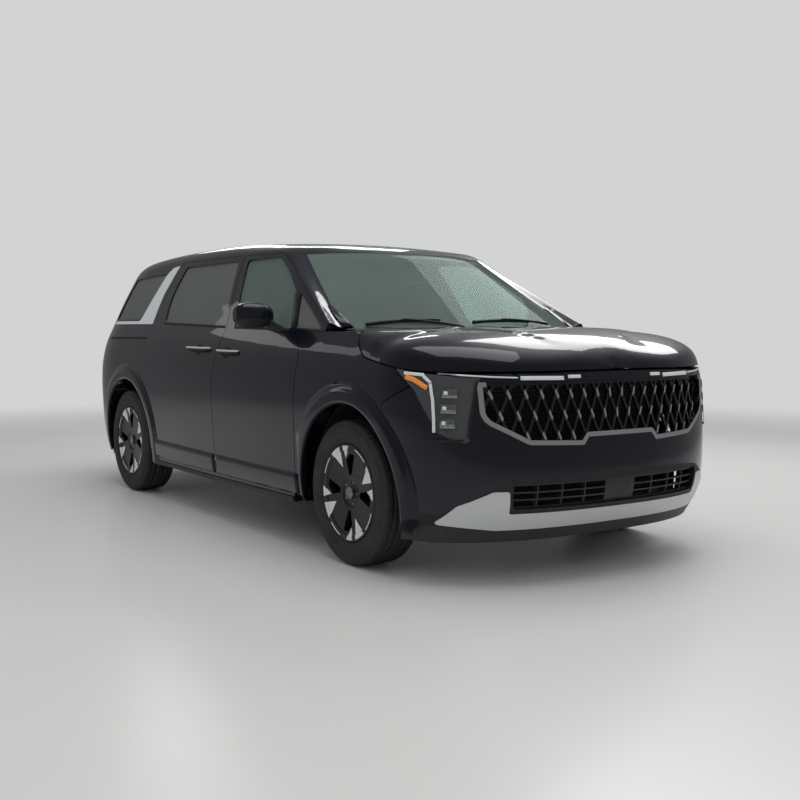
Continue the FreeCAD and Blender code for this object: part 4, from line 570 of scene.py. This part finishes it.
# Half section of a tyre from bead to middle: radius and distance from the wheel's middle plane
TYRE_SIDE = (
    (0.227, 0.0945), (0.2475, 0.0945), (0.2515, 0.100), (0.2535, 0.1045), (0.258, 0.1085),
    (0.262, 0.1095), (0.264, 0.1125), (0.270, 0.1145), (0.272, 0.1130), (0.281, 0.1160),
    (0.296, 0.1180), (0.312, 0.1172), (0.325, 0.1150), (0.327, 0.1163), (0.333, 0.1150),
    (0.335, 0.1125), (0.346, 0.1090), (0.354, 0.1050), (0.360, 0.1020), (0.3642, 0.0975),
    (0.3662, 0.0900), (0.3678, 0.0810), (0.3686, 0.0715), (0.3686 - GROOVE, 0.0695),
    (0.3688 - GROOVE, 0.0615), (0.3690, 0.0595), (0.3693, 0.0480), (0.3694, 0.0345),
    (0.3694 - GROOVE, 0.0330), (0.3694 - GROOVE, 0.0255), (0.3695, 0.0240), (0.3695, 0.0080),
)
# Cross cuts: least radius, between two distances from the middle, one step in so many, shift, depth
TREAD_CUTS = (
    (0.3655, 0.0745, 1.0, 5, 0, 0.006),
    (0.3605, 0.0745, 1.0, 5, 0, 0.0045),
    (0.3685, 0.036, 0.058, 5, 2, 0.0035),
    (0.3685, -1.0, 0.022, 10, 1, 0.003),
)


def cut_depth(r, w, step):
    for least, inner, outer, every, shift, depth in TREAD_CUTS:
        if r > least and inner < abs(w) < outer and (step + shift) % every == 0:
            return depth
    return 0.0


def make_tyre(name, axle, y, body):
    profile = list(TYRE_SIDE) + [(r, -w) for r, w in reversed(TYRE_SIDE)]
    verts = []
    for i in range(TREAD_STEPS):
        a = 2 * math.pi * i / TREAD_STEPS
        for r, w in profile:
            r -= cut_depth(r, w, i)
            verts.append((axle + r * math.cos(a), y + w, HUB + r * math.sin(a)))
    obj = make_mesh(name, verts, grid_faces(TREAD_STEPS, len(profile), True, True), TYRE, body)
    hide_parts(name.replace("treaded_", ""))


# Radii in millimetres at which the rim's outer face is measured, and where and how often it is probed
FACE_FIRST, FACE_LAST, FACE_STEP = 40, 244, 3
RAY_START = -1.2
RAY_TURN = 15


def face_y(r):
    """Height of the wheel's outer face from its middle plane, at a radius, measured on a spoke."""
    best = 0
    for turn in range(0, 360, RAY_TURN):
        a = math.radians(turn)
        start = Vector((FRONT_AXLE + r * math.cos(a), RAY_START, HUB + r * math.sin(a)))
        hit = RIM_SKIN.ray_cast(start, ACROSS)
        if hit[0] is not None:
            best = max(best, -hit[0].y - TRACK)
    return best


FACE = {r: face_y(r / 1000) for r in range(FACE_FIRST, FACE_LAST + 1, FACE_STEP)}


def face_height(r):
    inside = max(0, min(r * 1000 - FACE_FIRST, FACE_LAST - FACE_STEP - FACE_FIRST))
    low = FACE_FIRST + FACE_STEP * int(inside // FACE_STEP)
    share = min(1, max(0, (r * 1000 - low) / FACE_STEP))
    return mix(FACE[low], FACE[low + FACE_STEP], share)


# Machined wedges: tip and the two ends of the outer edge, as radius and degrees from the quarter
SPOKE_TURN = 105
WEDGES = (
    ((0.137, 10.0), (0.238, 3.9), (0.238, 25.0)),
    ((0.176, -6.4), (0.238, -17.5), (0.238, -3.9)),
)
ARC_RADIUS = 0.2325
ARC_WIDTH = 0.0055
ARC_START = 33.5
ARC_TURN = 24.5
PATCH_ROWS, PATCH_COLUMNS = 12, 7
MARK_LIFT = 0.0022
MARK_THICK = 0.003


def polar(r, turn):
    return r * math.cos(math.radians(turn)), r * math.sin(math.radians(turn))


def wheel_marks(name, axle, y, side, body):
    """The machined wedges and rim arcs of one wheel."""
    verts, faces = [], []

    def place(r, turn):
        a = math.radians(turn)
        return (axle + r * math.cos(a), y + side * (face_height(r) + MARK_LIFT), HUB + r * math.sin(a))

    def patch(corner):
        base = len(verts)
        for i in range(PATCH_ROWS):
            for j in range(PATCH_COLUMNS):
                verts.append(place(*corner(i / (PATCH_ROWS - 1), j / (PATCH_COLUMNS - 1))))
        faces.extend(tuple(base + k for k in f) for f in grid_faces(PATCH_ROWS, PATCH_COLUMNS))

    for quarter in range(4):
        middle = SPOKE_TURN + 90 * quarter
        for tip, low, high in WEDGES:
            def wedge(s, t):
                ax, az = polar(*tip)
                bx, bz = polar(low[0], mix(low[1], high[1], t))
                x, z = mix(ax, bx, s), mix(az, bz, s)
                return math.hypot(x, z), middle + math.degrees(math.atan2(z, x))
            patch(wedge)
        patch(lambda s, t: (ARC_RADIUS + ARC_WIDTH * s, middle - ARC_START - ARC_TURN * t))
    obj = make_mesh(name, verts, faces, MACHINED, body, smooth=False)
    thick = obj.modifiers.new("thick", "SOLIDIFY")
    thick.thickness = MARK_THICK
    thick.offset = 0


NUT_COUNT = 5
NUT_CIRCLE = 0.05715
CAP_SIDES = 32
# Height from the wheel's middle plane and radius of each ring, for a nut and for the cap
NUT_RINGS = ((0.064, 0.0075), (0.083, 0.0075), (0.086, 0.0055))
CAP_RINGS = (
    (0.086, 0.031), (0.0945, 0.0315), (0.0965, 0.029), (0.0962, 0.024), (0.0972, 0.022), (0.0975, 0.001),
)


def wheel_nuts(name, axle, y, side, body):
    """Wheel nuts and the cap in their middle."""
    verts, faces = [], []
    for k in range(NUT_COUNT):
        turn = math.radians(360 * k / NUT_COUNT)
        cx, cz = NUT_CIRCLE * math.cos(turn), NUT_CIRCLE * math.sin(turn)
        base = len(verts)
        for level, r in NUT_RINGS:
            for i in range(6):
                a = turn + math.pi * i / 3
                verts.append((axle + cx + r * math.cos(a), y + side * level, HUB + cz + r * math.sin(a)))
        faces += [tuple(base + n for n in f) for f in grid_faces(3, 6, closed_columns=True)]
        faces += [tuple(base + i for i in range(6)), tuple(base + 12 + i for i in range(6))]
    base = len(verts)
    for level, r in CAP_RINGS:
        for i in range(CAP_SIDES):
            a = 2 * math.pi * i / CAP_SIDES
            verts.append((axle + r * math.cos(a), y + side * level, HUB + r * math.sin(a)))
    cap = grid_faces(len(CAP_RINGS), CAP_SIDES, closed_columns=True)
    faces += [tuple(base + n for n in f) for f in cap]
    obj = make_mesh(name, verts, faces, NUT, body, smooth=False)


for axle, end in ((FRONT_AXLE, "front"), (REAR_AXLE, "rear")):
    for side, word in SIDES:
        wheel = "wheel_%s_%s" % (end, word)
        y = side * TRACK
        make_tyre("treaded_tyre_%s_%s" % (end, word), axle, y, wheel)
        wheel_marks("wheel_marks_%s_%s" % (end, word), axle, y, side, wheel)
        wheel_nuts("wheel_nuts_%s_%s" % (end, word), axle, y, side, wheel)


# Windscreen wipers

# Blade's tip and root and the arm's pivot, as (x, y) on the glass and the cowl
WIPERS = (
    ("wiper_right", (1.374, -0.70), (1.447, -0.27), (1.50, -0.14)),
    ("wiper_left", (1.482, -0.07), (1.440, 0.37), (1.452, 0.50)),
)
BLADE_PROFILE = (
    (-0.003, -0.002), (0.003, -0.002), (0.009, 0.009), (0.003, 0.018), (-0.005, 0.016), (-0.008, 0.008),
)
BLADE_GAP = 0.02
BLADE_LIFT = 0.004
ARM_LIFT = 0.022
ARM_BOW = 0.012
ARM_RADIUS = 0.008
ARM_TAPER = 0.6
ARM_STEPS = 6


def smooth_line(points):
    """Points on a curve through the first and last of the given ones and near the others."""
    curve = bpy.data.curves.new("line", "CURVE")
    curve.dimensions = "3D"
    curve.resolution_u = ARM_STEPS
    spline = curve.splines.new("NURBS")
    spline.points.add(len(points) - 1)
    for spot, p in zip(spline.points, points):
        spot.co = (*p, 1)
    spline.order_u = 3
    spline.use_endpoint_u = True
    obj = bpy.data.objects.new("line", curve)
    mesh = bpy.data.meshes.new_from_object(obj)
    line = [v.co.copy() for v in mesh.vertices]
    bpy.data.objects.remove(obj)
    bpy.data.curves.remove(curve)
    bpy.data.meshes.remove(mesh)
    return line


def make_wiper(name, tip, root, pivot):
    """Blade from tip to root along the glass, and the arm from its middle to the pivot."""
    spots = [top_point(x, y, BLADE_LIFT) for x, y in along((tip, root), BLADE_GAP)]
    blade = sweep(name + "_blade", framed(spots), BLADE_PROFILE, TRIM)
    middle = tuple((a + b) / 2 for a, b in zip(tip, root))
    far, _ = top_point(*middle, ARM_LIFT)
    near, _ = top_point(*pivot, ARM_LIFT)
    lift = (far + near) / 2 + Vector((0, 0, ARM_BOW))
    arm = rod(name + "_arm", smooth_line([near, lift, far]), ARM_RADIUS, TRIM, ARM_TAPER)


for row in WIPERS:
    make_wiper(*row)


# Lamps: light bars and strips, edges, amber reflectors and lit cells

LAMP_GAP = 0.012
LIGHT_BAR = (
    (2.110, 0.990), (2.205, 0.984), (2.245, 0.950), (2.262, 0.870), (2.270, 0.780), (2.272, 0.722),
)
# On the nose, as distance from the middle and height, with each strip's width
LIGHT_STRIPS = (
    ("thin", ((0.86, 0.990), (0.80, 0.984), (0.69, 0.976), (0.565, 0.971)), 0.007),
    ("wide", ((0.552, 0.969), (0.43, 0.9675), (0.33, 0.966)), 0.019),
    ("tip", ((0.305, 0.972), (0.232, 0.972)), 0.016),
)
LAMP_EDGES = (
    ("lower", ((2.215, 0.690), (2.30, 0.684), (2.375, 0.688))),
    ("front", ((2.386, 0.700), (2.392, 0.84), (2.392, 0.965))),
)
AMBER_PATH = ((2.120, 0.973), (2.165, 0.962), (2.235, 0.925))
# Lower and upper edge of each cell, its two ends in x, and its lit spot's ends in x and above its middle
CELLS = ((0.742, 0.784), (0.810, 0.852), (0.880, 0.920))
CELL_ENDS = (2.292, 2.345)
SPARK_ENDS = ((2.300, 0.004), (2.314, 0.002))
SPARK_GAP = 0.01

for side, word in SIDES:
    bar = side_strip("light_bar_" + word, LIGHT_BAR, 0.015, 0.0004, 0.0022, side, LIGHT, gap=LAMP_GAP)
    for part, path, width in LIGHT_STRIPS:
        strip = nose_strip("light_strip_%s_%s" % (part, word), [(side * y, z) for y, z in path],
                           width, -0.002, 0.003, LIGHT)
    for part, path in LAMP_EDGES:
        edge = side_strip("lamp_edge_%s_%s" % (part, word), path,
                          0.012, 0.0004, 0.002, side, SEAL, gap=LAMP_GAP)
    amber = side_strip("amber_reflector_" + word, AMBER_PATH,
                       0.022, 0.0002, 0.0016, side, AMBER, gap=LAMP_GAP)
    for k, (low, high) in enumerate(CELLS):
        middle = (low + high) / 2
        cell = side_strip("lamp_cell_%d_%s" % (k, word), [(x, middle) for x in CELL_ENDS],
                          high - low, 0.0004, 0.0012, side, LED, gap=LAMP_GAP)
        lit = side_strip("lamp_spark_%d_%s" % (k, word), [(x, middle + up) for x, up in SPARK_ENDS],
                         0.016, 0.0012, 0.0022, side, LIGHT, gap=SPARK_GAP)


# Small trims on the body side

SLIDE_RAIL = ((-1.172, 1.123), (-1.55, 1.121), (-1.944, 1.116))
BELT_FRONT = ((0.935, 1.187), (0.60, 1.193), (0.222, 1.199))
BELT_SLIDE = ((0.075, 1.202), (-0.45, 1.215), (-0.93, 1.226))
SILL_EDGE = ((1.05, 0.262), (0.0, 0.258), (-0.93, 0.262))
BAND_FRONT = ((1.115, 0.352), (0.60, 0.352), (0.062, 0.353))
BAND_SLIDE = ((0.036, 0.353), (-0.45, 0.358), (-0.955, 0.364))
WINDOW_POST = ((0.958, 1.205), (0.925, 1.275), (0.889, 1.350), (0.862, 1.405))
TAIL_TIP = ((-2.34, 1.158), (-2.42, 1.158), (-2.50, 1.156))
# Section of the moulded band along the door bottoms: across it and above the skin
BAND_PROFILE = ((0.060, 0.0004), (0.056, 0.0045), (0.030, 0.0105), (-0.046, 0.0085), (-0.056, 0.0004))
BAND_GAP = 0.03

for side, word in SIDES:
    door = "front_door_" + word
    for name, path, width, low, high, mat, body in (
        ("slide_rail_", SLIDE_RAIL, 0.018, 0.0002, 0.0012, SEAL, "body"),
        ("belt_seal_front_", BELT_FRONT, 0.014, 0.0004, 0.004, SEAL, door),
        ("belt_seal_slide_", BELT_SLIDE, 0.014, 0.0004, 0.004, SEAL, "body"),
        ("sill_edge_", SILL_EDGE, 0.030, 0.0004, 0.006, TRIM, "body"),
    ):
        side_strip(name + word, path, width, low, high, side, mat, body)

for side, word in SIDES:
    door = "front_door_" + word
    for name, path, body in (
        ("sill_band_front_", BAND_FRONT, door),
        ("sill_band_slide_", BAND_SLIDE, "body"),
    ):
        spots = framed([side_point(x, z, side) for x, z in along(path, BAND_GAP)])
        sweep(name + word, spots, BAND_PROFILE, PAINT, body)
    post = side_strip("window_post_" + word, WINDOW_POST, 0.046, 0.0004, 0.0024, side, GLOSS, door)
    tip = side_strip("tail_lamp_tip_" + word, TAIL_TIP, 0.062, 0.0004, 0.008, side, RED, gap=0.015)


# Fillers at the windshield's foot, radiator face, inside mirror, and dark sheets of painted shade behind the
# door handles

# The right side's filler: its edge on the pillar and its edge on the glass
COWL_OUTER = ((1.128, -0.800, 1.313), (1.190, -0.806, 1.283), (1.250, -0.812, 1.250), (1.322, -0.822, 1.197))
COWL_INNER = ((1.132, -0.758, 1.317), (1.205, -0.758, 1.282), (1.270, -0.758, 1.246), (1.345, -0.758, 1.205))
COWL_SHARES = (0, 0.2, 0.4, 0.6, 0.8, 1)
COWL_BULGE = 0.006
COWL_THICK = 0.004


def cowl_corner(name, side):
    """Body-colour filler between the pillar's foot and the windshield."""
    verts = []
    for a, b in zip(COWL_OUTER, COWL_INNER):
        for t in COWL_SHARES:
            v = Vector(a).lerp(Vector(b), t) + Vector((0, 0, COWL_BULGE * math.sin(math.pi * t)))
            verts.append((v.x, -side * v.y, v.z))
    obj = make_mesh(name, verts, grid_faces(len(COWL_OUTER), len(COWL_SHARES)), PAINT)
    thick = obj.modifiers.new("thick", "SOLIDIFY")
    thick.thickness = COWL_THICK


for side, word in SIDES:
    cowl_corner("cowl_corner_" + word, side)

RADIATOR_X = 2.325
RADIATOR_SWEEP = 0.30
RADIATOR_BEND = 0.8
RADIATOR_HALF = 0.78
RADIATOR_LOW = 0.335
RADIATOR_TALL = 0.58
RADIATOR_COLUMNS = 60
RADIATOR_ROWS = 58
SLAT = 0.004


def make_radiator():
    """Finned face behind the grille that follows the nose."""
    verts = []
    for row in range(RADIATOR_ROWS + 1):
        z = RADIATOR_LOW + RADIATOR_TALL * row / RADIATOR_ROWS
        for i in range(RADIATOR_COLUMNS + 1):
            y = -RADIATOR_HALF + 2 * RADIATOR_HALF * i / RADIATOR_COLUMNS
            x = RADIATOR_X - RADIATOR_SWEEP * (abs(y) / RADIATOR_BEND) ** 4
            verts.append((x + (SLAT if row % 2 else 0), y, z))
    faces = grid_faces(RADIATOR_ROWS + 1, RADIATOR_COLUMNS + 1)
    return make_mesh("radiator", verts, faces, SEAL, smooth=False)


radiator = make_radiator()

MIRROR_CENTRE = Vector((0.905, -0.02, 1.435))
MIRROR_AXES = (ACROSS, Vector((0.3, 0, 1)), Vector((1, 0, -0.3)))
MIRROR_SIZES = (0.125, 0.034, 0.016)
MIRROR_STEM = ((0.905, -0.02, 1.45), (0.875, -0.02, 1.50), (0.845, -0.02, 1.535))
STEM_RADIUS = 0.011

mirror_shape = pillow(MIRROR_CENTRE, *MIRROR_AXES, MIRROR_SIZES, power=4, crown=0.1, steps=10)
mirror_case = make_mesh("inner_mirror", *mirror_shape, TRIM)
mirror_stem = rod("inner_mirror_stem", [Vector(p) for p in MIRROR_STEM], STEM_RADIUS, TRIM)

# Painted shade behind the door handles: rings, sides, width, height and lift above the skin of each dark
# sheet, and their middles
SHADE_RINGS = (1.0, 0.86, 0.6, 0.3, 0.02)
SHADE_SIDES = 28
SHADE_WIDE, SHADE_TALL = 0.048, 0.034
SHADE_LIFT = 0.0012
FRONT_HANDLE_SHADE = (0.215, 1.048)
SLIDE_HANDLE_SHADE = (-0.20, 1.060)


def handle_shade_sheet(name, middle, side, body):
    """Dark sheet on the skin behind a door handle: painted shade of the handle's recess."""
    verts = []
    for ring in SHADE_RINGS:
        for i in range(SHADE_SIDES):
            a = 2 * math.pi * i / SHADE_SIDES
            x = middle[0] + SHADE_WIDE * ring * math.cos(a)
            z = middle[1] + SHADE_TALL * ring * math.sin(a)
            point, normal = side_point(x, z, side)
            verts.append(point + normal * SHADE_LIFT)
    faces = grid_faces(len(SHADE_RINGS), SHADE_SIDES, closed_columns=True)
    return make_mesh(name, verts, faces, SEAL, body)


# Dark sheets of painted shade in the handle recesses, on each side
for side, word in SIDES:
    handle_shade_sheet("handle_cup_front_" + word, FRONT_HANDLE_SHADE, side, "front_door_" + word)
    handle_shade_sheet("handle_cup_slide_" + word, SLIDE_HANDLE_SHADE, side, "body")


# Seats: stuffed cushions, backs and head rests on plinths

SEAT_BASE = 0.3303
FRONT_SEAT_X = FRONT_AXLE - 1.480
MIDDLE_SEAT_X = FRONT_AXLE - 2.310
REAR_SEAT_X = REAR_AXLE - 0.060
CUSHION_TILT = Vector((1, 0, 0.11)).normalized()
BACK_LEAN = Vector((-0.36, 0, 1)).normalized()
REST_LEAN = Vector((-0.2, 0, 1)).normalized()
REST_BACK, REST_UP = -0.392, 0.968
REAR_REST_Y = 0.30
POST_Y = 0.05
POST_RADIUS = 0.006
VOXEL = 0.012
PRESSURE = 4
CLOTH_FRAMES = 20
soft_cache = {}


def puff(obj, cap):
    """Swell a cushion like stuffed cloth and keep each point within the cap."""
    was_active = bpy.context.view_layer.objects.active
    bpy.context.view_layer.objects.active = obj
    remesh = obj.modifiers.new("remesh", "REMESH")
    remesh.mode = "VOXEL"
    remesh.voxel_size = VOXEL
    bpy.ops.object.modifier_apply(modifier=remesh.name)
    start = [v.co.copy() for v in obj.data.vertices]
    cloth = obj.modifiers.new("cloth", "CLOTH")
    cloth.settings.quality = 5
    cloth.settings.use_pressure = True
    cloth.settings.uniform_pressure_force = PRESSURE
    cloth.settings.effector_weights.gravity = 0
    scene = bpy.context.scene
    for number in range(1, CLOTH_FRAMES + 1):
        scene.frame_set(number)
    bpy.ops.object.modifier_apply(modifier=cloth.name)
    scene.frame_set(1)
    for v, a in zip(obj.data.vertices, start):
        move = v.co - a
        if move.length > cap:
            v.co = a + move.normalized() * cap
    for face in obj.data.polygons:
        face.use_smooth = True
    bpy.context.view_layer.objects.active = was_active


def seat_piece(name, centre, axis, sizes, power, crown):
    """Cloth-covered pillow whose first half size lies along the axis."""
    data = pillow(Vector(centre), axis, ACROSS, axis.cross(ACROSS), sizes, power, crown)
    obj = make_mesh(name, *data, CLOTH)
    return obj


def make_seat(label, x, y, wide, node, with_rest=True):
    """One seat: cushion, back and head rest, and the plinth below."""
    half = wide / 2
    parts = [
        ("cushion", (0.035, 0, 0.272), CUSHION_TILT, (0.232, half - 0.016, 0.074), 3.4, 0.12, 0.012),
        ("back", (-0.292, 0, 0.610), BACK_LEAN, (0.318, half - 0.018, 0.058), 3.6, 0.10, 0.010),
    ]
    if with_rest:
        parts.append(("rest", (REST_BACK, 0, REST_UP), REST_LEAN, (0.098, 0.128, 0.044), 2.8, 0.10, 0.006))
    pieces = []
    for part, centre, axis, sizes, power, crown, cap in parts:
        key = (part, wide)
        name = "%s_%s" % (label, part)
        if key in soft_cache:
            obj = bpy.data.objects.new(name, soft_cache[key].copy())
            bpy.context.scene.collection.objects.link(obj)
            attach(obj, "body")
        else:
            obj = seat_piece(name, centre, axis, sizes, power, crown)
            puff(obj, cap)
            soft_cache[key] = obj.data.copy()
        obj.data.transform(Matrix.Translation(Vector((x, y, SEAT_BASE))))
        pieces.append(obj)
    plinth = pillow(Vector((x - 0.01, y, SEAT_BASE + 0.098)), Vector((1, 0, 0)), ACROSS, UP,
                    (0.205, half - 0.03, 0.097), power=8, crown=0, steps=6)
    base = make_mesh(label + "_plinth", *plinth, TRIM)
    posts = []
    if with_rest:
        for tag, dy in (("a", -POST_Y), ("b", POST_Y)):
            foot = Vector((x - 0.372, y + dy, SEAT_BASE + 0.86))
            head = Vector((x - 0.385, y + dy, SEAT_BASE + 0.93))
            post = rod("%s_post_%s" % (label, tag), [foot, head], POST_RADIUS, CHROME)
            posts.append(post)
    for piece in pieces + [base] + posts:
        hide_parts(node)


for side, word in SIDES:
    make_seat("front_seat_" + word, FRONT_SEAT_X, side * 0.380, 0.520, "front_seats")
    make_seat("middle_seat_" + word, MIDDLE_SEAT_X, side * 0.370, 0.500, "middle_seats")
make_seat("rear_bench", REAR_SEAT_X, 0, 0.960, "rear_seat", with_rest=False)
for k, y in enumerate((-REAR_REST_Y, REAR_REST_Y)):
    centre = (REAR_SEAT_X + REST_BACK, y, SEAT_BASE + REST_UP)
    rest = seat_piece("rear_rest_%d" % k, centre, REST_LEAN, (0.09, 0.12, 0.042), 2.8, 0.1)
    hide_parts("rear_seat")


# Floor, light and camera

FLOOR_TONE = (0.64, 0.635, 0.63)
WALL_TONE = (0.645, 0.655, 0.65)
DIM = 0.3
# Distances from the middle between which the floor turns into the wall
FLOOR_NEAR = 5.5
FLOOR_FAR = 11.0
# Area lights: name, place, target, width, height and power
LIGHTS = (
    ("overhead", (1.6, -0.2, 6.6), (1.2, 0, 0), 5.4, 5.0, 200),
    ("left_overhead", (-0.9, 4.5, 5.0), (0.3, 0, 0.6), 3.8, 2.8, 150),
    ("ceiling_band", (-5.8, 2.6, 4.0), (0.3, 0, 1.2), 3.6, 1.1, 50),
    ("right_band", (-4.9, -3.8, 3.1), (1.0, -0.9, 1.0), 2.6, 0.5, 4),
)
# Camera fitted to the photograph; its focal length is in pixels of the picture's width
CAMERA_PLACE = (6.3012, -3.7924, 1.2051)
CAMERA_YAW = math.radians(146.086)
CAMERA_PITCH = math.radians(-3.852)
FOCAL_PIXELS = 1092.9
PICTURE_WIDTH = 800
SENSOR_WIDTH = 36.0


def seen_strength(tree):
    """Full strength to the eye and as light, dimmer in reflections."""
    path = tree.nodes.new("ShaderNodeLightPath")
    return spread(tree, path.outputs["Is Glossy Ray"], 1.0, DIM)


def make_floor():
    """Wide floor that turns into the wall's tone far from the part."""
    bpy.ops.mesh.primitive_circle_add(vertices=96, radius=40, fill_type="NGON", location=(0, 0, 0))
    floor = bpy.context.object
    floor.name = "floor"
    mat, tree, shader = new_material("floor")
    reach = tree.nodes.new("ShaderNodeVectorMath")
    reach.operation = "LENGTH"
    tree.links.new(coordinates(tree), reach.inputs[0])
    far = tree.nodes.new("ShaderNodeMapRange")
    far.interpolation_type = "SMOOTHSTEP"
    far.inputs["From Min"].default_value = FLOOR_NEAR
    far.inputs["From Max"].default_value = FLOOR_FAR
    tree.links.new(reach.outputs["Value"], far.inputs["Value"])
    lighter = tuple(c * 1.04 for c in FLOOR_TONE)
    tone = ramp(tree, noise(tree, 0.35, 2.0), [(0.3, FLOOR_TONE), (0.7, lighter)])
    tree.links.new(tone, shader.inputs["Base Color"])
    set_inputs(shader, {"Roughness": 0.28, "Specular IOR Level": 0.35})
    back = tree.nodes.new("ShaderNodeEmission")
    back.inputs["Color"].default_value = (*WALL_TONE, 1)
    tree.links.new(seen_strength(tree), back.inputs["Strength"])
    tree.links.new(far.outputs["Result"], blend_shaders(tree, shader, back))
    floor.data.materials.append(mat)
    floor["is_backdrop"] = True


def make_world():
    world = bpy.data.worlds.new("studio")
    bpy.context.scene.world = world
    world.use_nodes = True
    sky = world.node_tree
    sky.nodes.clear()
    out = sky.nodes.new("ShaderNodeOutputWorld")
    plain = sky.nodes.new("ShaderNodeBackground")
    plain.inputs["Color"].default_value = (*WALL_TONE, 1)
    sky.links.new(seen_strength(sky), plain.inputs["Strength"])
    sky.links.new(plain.outputs[0], out.inputs["Surface"])


def area_light(name, place, target, wide, tall, power):
    """Rectangular light that the camera doesn't see."""
    data = bpy.data.lights.new(name, "AREA")
    data.shape = "RECTANGLE"
    data.size, data.size_y = wide, tall
    data.energy = power
    lamp = bpy.data.objects.new(name, data)
    bpy.context.scene.collection.objects.link(lamp)
    lamp.location = place
    lamp.rotation_mode = "QUATERNION"
    lamp.rotation_quaternion = (Vector(target) - Vector(place)).to_track_quat("-Z", "Y")
    lamp.visible_camera = False


make_floor()
make_world()
for row in LIGHTS:
    area_light(*row)

camera = bpy.data.objects.new("camera", bpy.data.cameras.new("camera"))
bpy.context.scene.collection.objects.link(camera)
camera.data.sensor_width = SENSOR_WIDTH
camera.data.lens = SENSOR_WIDTH * FOCAL_PIXELS / PICTURE_WIDTH
camera.data.clip_end = 200
camera.location = CAMERA_PLACE
look = Vector((
    math.cos(CAMERA_YAW) * math.cos(CAMERA_PITCH),
    math.sin(CAMERA_YAW) * math.cos(CAMERA_PITCH),
    math.sin(CAMERA_PITCH),
))
camera.rotation_mode = "QUATERNION"
camera.rotation_quaternion = look.to_track_quat("-Z", "Y")
bpy.context.scene.camera = camera
bpy.context.scene.view_settings.view_transform = "Standard"

low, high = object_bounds()
